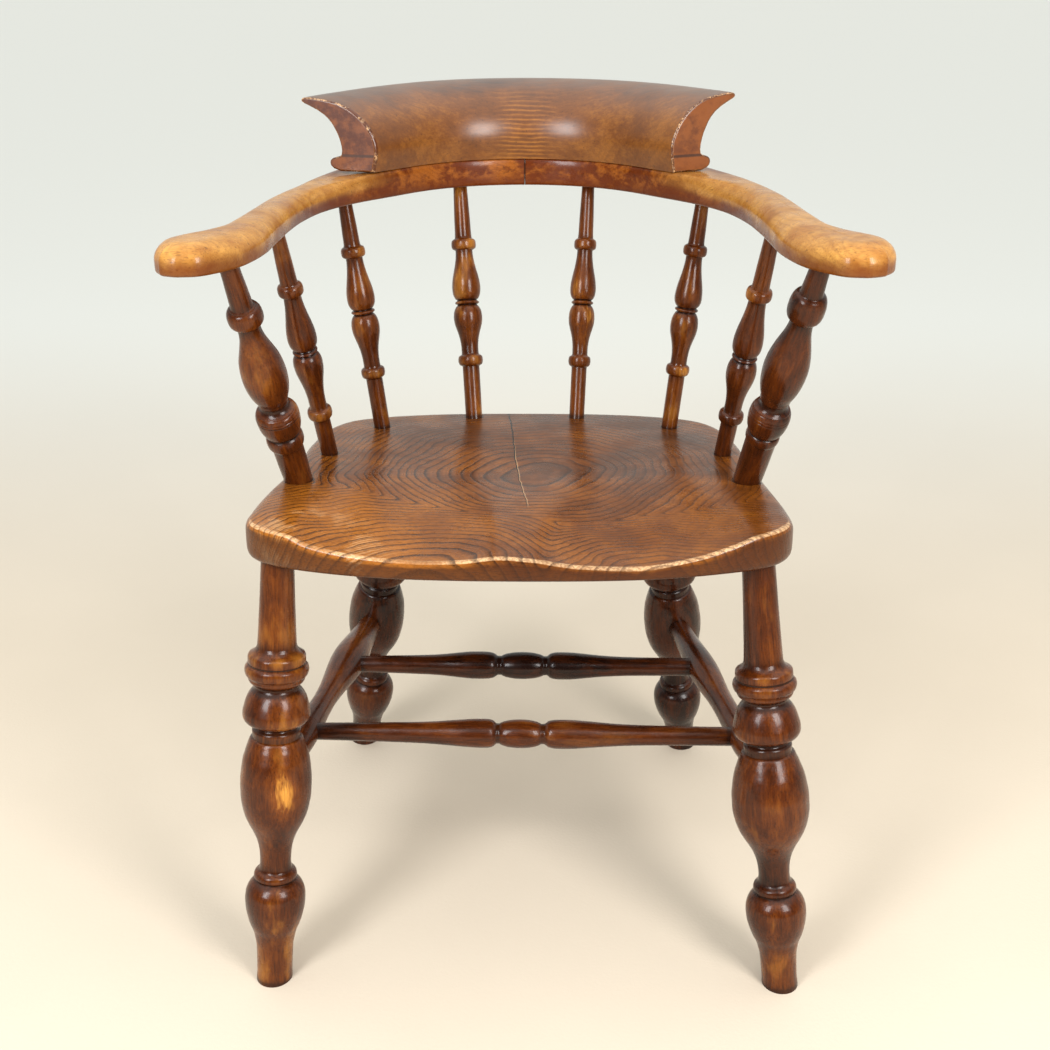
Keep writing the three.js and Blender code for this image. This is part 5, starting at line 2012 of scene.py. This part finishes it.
@dataclass
class Uprights:
    """The arm posts and the spindles between the seat and the bow."""

    seat: Seat
    bow: Bow
    tenons: Pair = (19, 17)
    sides: int = 44
    fine: int = 160
    post_seed: int = 51
    spindle_seed: int = 61
    pattern_fullness: float = 31.5
    half_ring: float = 0.024
    half_waist: float = 0.01
    post_rows: dict = field(default_factory=lambda: {
        Side.LEFT: (
            (0, 27), (0.05, 27.6), (0.1, 28.5), (0.15, 28.8), (0.183, 29), (0.188, 30.4),
            (0.196, 33.4), (0.208, 35.1), (0.222, 35.3), (0.234, 34.2), (0.2405, 32.6),
            (0.2445, 30),
            (0.248, 29.4), (0.2515, 31), (0.26, 34.2), (0.275, 37), (0.295, 39.4), (0.318, 40.4),
            (0.328, 40.6), (0.3305, 39.7), (0.333, 40.6), (0.3385, 40.5), (0.341, 39.5),
            (0.3435, 40.1),
            (0.351, 39), (0.358, 37), (0.3605, 35.2), (0.3635, 35), (0.366, 32.4),
            (0.37, 29), (0.376, 25.8), (0.384, 24), (0.391, 23.5), (0.394, 24.4), (0.396, 27.4),
            (0.402, 28.4), (0.409, 28.3), (0.412, 28.9), (0.421, 31), (0.443, 35.2), (0.465, 38),
            (0.487, 39.8), (0.52, 40.8), (0.552, 40), (0.594, 37), (0.615, 33.9), (0.636, 30.4),
            (0.657, 26.9), (0.677, 23.9), (0.698, 21.6), (0.718, 20.6), (0.743, 20.4),
            (0.747, 21.4), (0.75, 25), (0.756, 29), (0.765, 31), (0.776, 31.6), (0.79, 31.3),
            (0.802, 29.9), (0.81, 27.6), (0.814, 25.4), (0.816, 23.4), (0.82, 23), (0.823, 20.6),
            (0.86, 19.2), (0.9, 18.4), (0.95, 17.2), (1, 16.5),
        ),
        Side.RIGHT: (
            (0, 27), (0.05, 27.6), (0.1, 28.3), (0.16, 28.7), (0.212, 29), (0.217, 29.8),
            (0.225, 31.6), (0.236, 32.1), (0.246, 31.6), (0.2525, 30.2), (0.2555, 28.4),
            (0.2585, 28.6),
            (0.265, 31.6), (0.277, 34.4), (0.293, 36.7), (0.31, 38.1), (0.328, 38.8), (0.334, 38.8),
            (0.3365, 37.9), (0.339, 38.7), (0.3465, 38.3), (0.349, 37.4), (0.3515, 37.9),
            (0.36, 36.8),
            (0.367, 35), (0.3695, 33.8), (0.3725, 33.6), (0.376, 30.6), (0.382, 27.4),
            (0.39, 25), (0.399, 24.4), (0.405, 24.8), (0.408, 27.2), (0.415, 28.2), (0.423, 28.5),
            (0.44, 31.2), (0.462, 34.6), (0.5, 38.4), (0.53, 39.9), (0.552, 40.2), (0.58, 39.4),
            (0.61, 37), (0.645, 33), (0.67, 29.4), (0.69, 26.5), (0.71, 23.8), (0.73, 22),
            (0.748, 21), (0.766, 20.8), (0.769, 22.6), (0.772, 26), (0.779, 29.2), (0.79, 31.3),
            (0.808, 32.4), (0.828, 32.4), (0.846, 31.3), (0.86, 29.2), (0.868, 26.8), (0.872, 24),
            (0.876, 21), (0.9, 19.6), (0.93, 18.6), (1, 17),
        ),
    })
    spindle_rows: tuple = (
        (0, 18.3), (0.1, 18.5), (0.19, 18.6), (0.216, 18.6), (0.219, 20.4), (0.222, 23.4),
        (0.228, 25.8), (0.242, 27.2), (0.253, 26.8), (0.26, 25.4), (0.264, 22.8), (0.267, 19.6),
        (0.275, 18.6), (0.3, 18.8), (0.33, 20.4), (0.36, 24), (0.385, 28), (0.405, 30.6),
        (0.426, 31.5), (0.445, 30.8), (0.46, 29), (0.47, 26.6), (0.477, 24), (0.482, 21.4),
        (0.4845, 22.5), (0.487, 25), (0.492, 26.8), (0.497, 25), (0.4995, 22.5), (0.502, 21.6),
        (0.507, 24.6), (0.516, 27.6), (0.53, 30.2), (0.552, 31.2), (0.575, 30.4), (0.6, 28.2),
        (0.63, 24.6), (0.66, 21.4), (0.69, 19.2), (0.709, 18.6), (0.715, 18.8), (0.7175, 21.4),
        (0.721, 24.6), (0.729, 26.6), (0.74, 27), (0.75, 26.6), (0.758, 24.8), (0.762, 22),
        (0.765, 19.2), (0.775, 18.2), (0.85, 17.2), (0.93, 15.8), (1, 14.8),
    )
    spindle_features: tuple = (0.243, 0.426, 0.492, 0.552, 0.74)
    post_tone: dict = field(default_factory=lambda: {Side.LEFT: 0.04, Side.RIGHT: -0.36})
    spindle_tone: dict = field(default_factory=lambda: {"side": 0.1, "rear": 0.35, "centre": 0.5})
    posts: dict = field(default_factory=lambda: {
        Side.LEFT: UprightPlace((0.872, 0.414), 0.757, 0.285),
        Side.RIGHT: UprightPlace((0.8665, 0.414), 0.757, 0.32),
    })
    spindles: dict = field(default_factory=lambda: {
        ("side", Side.LEFT): UprightPlace(
            (0.8, 0.615), 0.486, 0.38, 29, (0.202, 0.434, 0.489, 0.548, 0.756)),
        ("rear", Side.LEFT): UprightPlace(
            (0.625, 0.847), 0.261, 0.52, 30, (0.25, 0.453, 0.519, 0.578, 0.776)),
        ("centre", Side.LEFT): UprightPlace(
            (0.228, 0.944), 0.0846, 0.52, 32, (0.245, 0.428, 0.492, 0.556, 0.74)),
        ("side", Side.RIGHT): UprightPlace(
            (0.817, 0.615), 0.486, 0.4, 29.5, (0.187, 0.394, 0.462, 0.525, 0.738)),
        ("rear", Side.RIGHT): UprightPlace(
            (0.6365, 0.847), 0.257, 0.52, 29.5, (0.262, 0.455, 0.527, 0.58, 0.781)),
        ("centre", Side.RIGHT): UprightPlace(
            (0.2353, 0.944), 0.0825, 0.52, 29, (0.241, 0.424, 0.492, 0.549, 0.74)),
    })

    def _stops(self, features: tuple) -> list[float]:
        """The places that keep the rings' heights as the features move.

        Args:
            features: The features' places.

        Returns:
            The stops.
        """
        low, low_bulge, middle, high_bulge, high = features
        ring, waist = self.half_ring, self.half_waist
        return [0, low - ring, low + ring, low_bulge, middle - waist, middle + waist, high_bulge,
                high - ring, high + ring, 1]

    def _spindle_rows(self, place: UprightPlace) -> list[Pair]:
        """The pattern of one spindle.

        Args:
            place: Where it stands and how it is turned.

        Returns:
            The pattern.
        """
        scale = place.fullness / self.pattern_fullness
        rows = [(share, size * scale) for share, size in self.spindle_rows]
        return moved(rows, self._stops(self.spindle_features), self._stops(place.features))

    def _turning(self, name: str, node: str, side: Side, place: UprightPlace, rows: Sequence[Pair],
                 seed: int, tone: float) -> Turning:
        """An upright from its place in the seat to its place in the bow.

        Args:
            name: The piece's name.
            node: The solid that it stands for.
            side: Its side of the chair.
            place: Its places in the seat and the bow.
            rows: Its pattern.
            seed: The seed of its grain.
            tone: How pale it is.

        Returns:
            The turning.
        """
        start = self.seat.top(side.value, place.seat_shares)
        end = self.bow.on(side.value * place.bow_share, place.across, self.bow.height)
        return Turning(name, node, start, end, rows, self.tenons, seed, tone, self.sides, self.fine)

    def sockets(self) -> tuple:
        """The uprights' places in the seat, in the part's frame, and their radii in metres.

        Returns:
            Each place with its radius.
        """
        places = [(place, side, self.post_rows[side][0][1]) for side, place in self.posts.items()]
        places += [(place, side, self._spindle_rows(place)[0][1])
                   for (_, side), place in self.spindles.items()]
        return tuple((tuple(placed(self.seat.top(side.value, place.seat_shares))),
                      width / 2 * METRE) for place, side, width in places)

    def make(self, finish: bpy.types.Material) -> list[bpy.types.Object]:
        """Turns the posts and the spindles.

        Args:
            finish: The finish.

        Returns:
            The posts and the spindles.
        """
        turnings = []
        for side, place in self.posts.items():
            turnings.append(self._turning(
                f"post_{side.word}", f"arm_post_{side.word}", side, place, self.post_rows[side],
                self.post_seed + side.value, self.post_tone[side]))
        for number, ((name, side), place) in enumerate(self.spindles.items()):
            turnings.append(self._turning(
                f"{name}_spindle_{side.word}", f"spindle_{name}_{side.word}", side, place,
                self._spindle_rows(place), self.spindle_seed + 3 * number, self.spindle_tone[name]))
        return turn_all(turnings, finish)


# Hidden fastenings


def dress_fastenings(nodes: dict[str, bpy.types.Object]) -> list[bpy.types.Object]:
    """Gives the dowels and the screws in the joints their finishes.

    Args:
        nodes: The part's solids, by name.

    Returns:
        The dowels and the screws.
    """
    dowel = HiddenFinish("dowel beech", low=(0.42, 0.27, 0.14), high=(0.58, 0.4, 0.22),
                         stretch=(0.1, 1, 1))
    screw = HiddenFinish("screw steel", low=(0.2, 0.19, 0.18), high=(0.42, 0.41, 0.39),
                         metallic=1.0)
    finishes = {"bow_dowel": dowel.make(), "crest_screw": screw.make()}
    fastenings = []
    for name, node in nodes.items():
        for kind, finish in finishes.items():
            if name.startswith(kind):
                node.data.materials.clear()
                node.data.materials.append(finish)
                fastenings.append(node)
    return fastenings


# The room


@dataclass(frozen=True)
class SoftLight:
    """A soft light that faces the chair.

    It hangs at degrees round from the chair's front towards the right, at degrees above the level
    of the seat, and so many metres off. Its width and height are in metres, its power in watts.
    """

    name: str
    turn: float
    rise: float
    away: float
    size: Pair
    power: float
    colour: Triple

    def hang(self, middle: Vector) -> None:
        """Hangs the light so that it faces a point.

        Args:
            middle: The point.
        """
        a, e = math.radians(self.turn), math.radians(self.rise)
        way = Vector((math.sin(a) * math.cos(e), -math.cos(a) * math.cos(e), math.sin(e)))
        light = bpy.data.lights.new(self.name, "AREA")
        light.shape, light.size, light.size_y = "RECTANGLE", *self.size
        light.energy, light.color = self.power, self.colour
        lamp = bpy.data.objects.new(self.name, light)
        lamp.location = middle + way * self.away
        lamp.rotation_euler = way.to_track_quat("Z", "Y").to_euler()
        bpy.context.scene.collection.objects.link(lamp)


@dataclass
class Studio:
    """The camera, the soft lights and the plain floor."""

    eye: Vector = field(default_factory=lambda: Vector((7.36, -1263.82, 915.43)))
    down: float = 21.74
    aside: float = 0.27
    lens: float = 46.494
    shift: float = -0.02866
    nearest: float = 0.05
    middle: Vector = field(default_factory=lambda: Vector((0, 0, 0.5)))
    lights: tuple = (
        SoftLight("right_light", 36, 25, 1.75, (0.55, 1.05), 30, (1.0, 0.97, 0.95)),
        SoftLight("left_light", -35, 25, 1.75, (0.5, 1.05), 27, (0.97, 0.98, 1.0)),
    )
    dimmer: Triple = (0.1, 0.1, 0.1)
    wall: Triple = (0.74, 0.75, 0.71)
    wall_from: Pair = (-0.5, 0.5)
    ceiling: Triple = (1.75, 1.76, 1.7)
    ceiling_from: Pair = (0.45, 0.95)
    backdrop: Triple = (0.7, 0.71, 0.68)
    floor_size: float = 90
    floor_dark: Triple = (0.56, 0.485, 0.385)
    floor_light: Triple = (0.61, 0.53, 0.425)
    floor_behind: Triple = (0.72, 0.73, 0.7)
    behind_from: Pair = (0.2, 2.4)

    def camera(self) -> None:
        """Stands the camera where the photograph was taken."""
        deselect()
        turn = math.radians(90 - self.down), 0, math.radians(self.aside)
        bpy.ops.object.camera_add(location=placed(self.eye), rotation=turn)
        camera = bpy.context.object
        camera.data.lens = self.lens
        camera.data.shift_y = self.shift
        camera.data.clip_start = self.nearest
        bpy.context.scene.camera = camera

    def sky(self) -> None:
        """Fills the room with soft pale light, brightest overhead and dimmer in front."""
        room = bpy.data.worlds.new("room")
        g = Graph(room)
        _, y, z = g.split(g.node("TexCoord").outputs["Generated"])
        light = g.mix(g.span(y, *self.wall_from), self.dimmer, self.wall)
        light = g.mix(g.span(z, *self.ceiling_from), light, self.ceiling)
        seen = g.node("LightPath").outputs["Is Camera Ray"]
        glow = g.node("Background", {"Color": g.mix(seen, light, self.backdrop)})
        g.node("OutputWorld", {"Surface": glow.outputs[0]})
        bpy.context.scene.world = room
        bpy.context.scene.view_settings.view_transform = "Standard"

    def floor(self) -> None:
        """Lays the plain pale floor, warm near the chair and neutral far behind it."""
        deselect()
        bpy.ops.mesh.primitive_plane_add(size=self.floor_size, location=(0, 0, 0))
        floor = bpy.context.object
        floor.name = "floor"
        g = Graph.of_finish("pale floor")
        place = g.node("TexCoord").outputs["Object"]
        colour = g.mix(g.noise(place, 3, 3), self.floor_dark, self.floor_light)
        behind = g.span(g.split(place)[1], *self.behind_from)
        colour = g.mix(behind, colour, self.floor_behind)
        nap = g.bump(g.noise(place, 260), 0.0008, 0.3)
        floor.data.materials.append(g.finish(Base_Color=colour, Roughness=0.85, Normal=nap))

    def make(self) -> None:
        """Sets up the room."""
        self.camera()
        self.sky()
        self.floor()
        for light in self.lights:
            light.hang(self.middle)


def main() -> None:
    """Builds the whole chair in its room and reports each piece."""
    logging.basicConfig(level=logging.INFO, format="%(message)s")
    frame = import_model()
    Studio().make()
    fine = TurnedAsh("turned ash").make()
    coarse = TurnedAsh("coarse turned ash", wear=0.25, uneven=0.62).make()
    seat, bow = Seat(), Bow()
    legs, uprights = Legs(seat), Uprights(seat, bow)
    pieces = [
        seat.make(uprights.sockets()),
        *bow.make(),
        CrestRail(bow).make(),
        *legs.make(fine, coarse),
        *Stretchers(legs).make(coarse),
        *uprights.make(fine),
        *dress_fastenings(frame["nodes"]),
    ]
    for piece in pieces:
        LOG.info("%s: %d faces, %s", piece.name, len(piece.data.polygons),
                 piece.active_material.name)
    deselect()


if __name__ == "__main__":
    main()
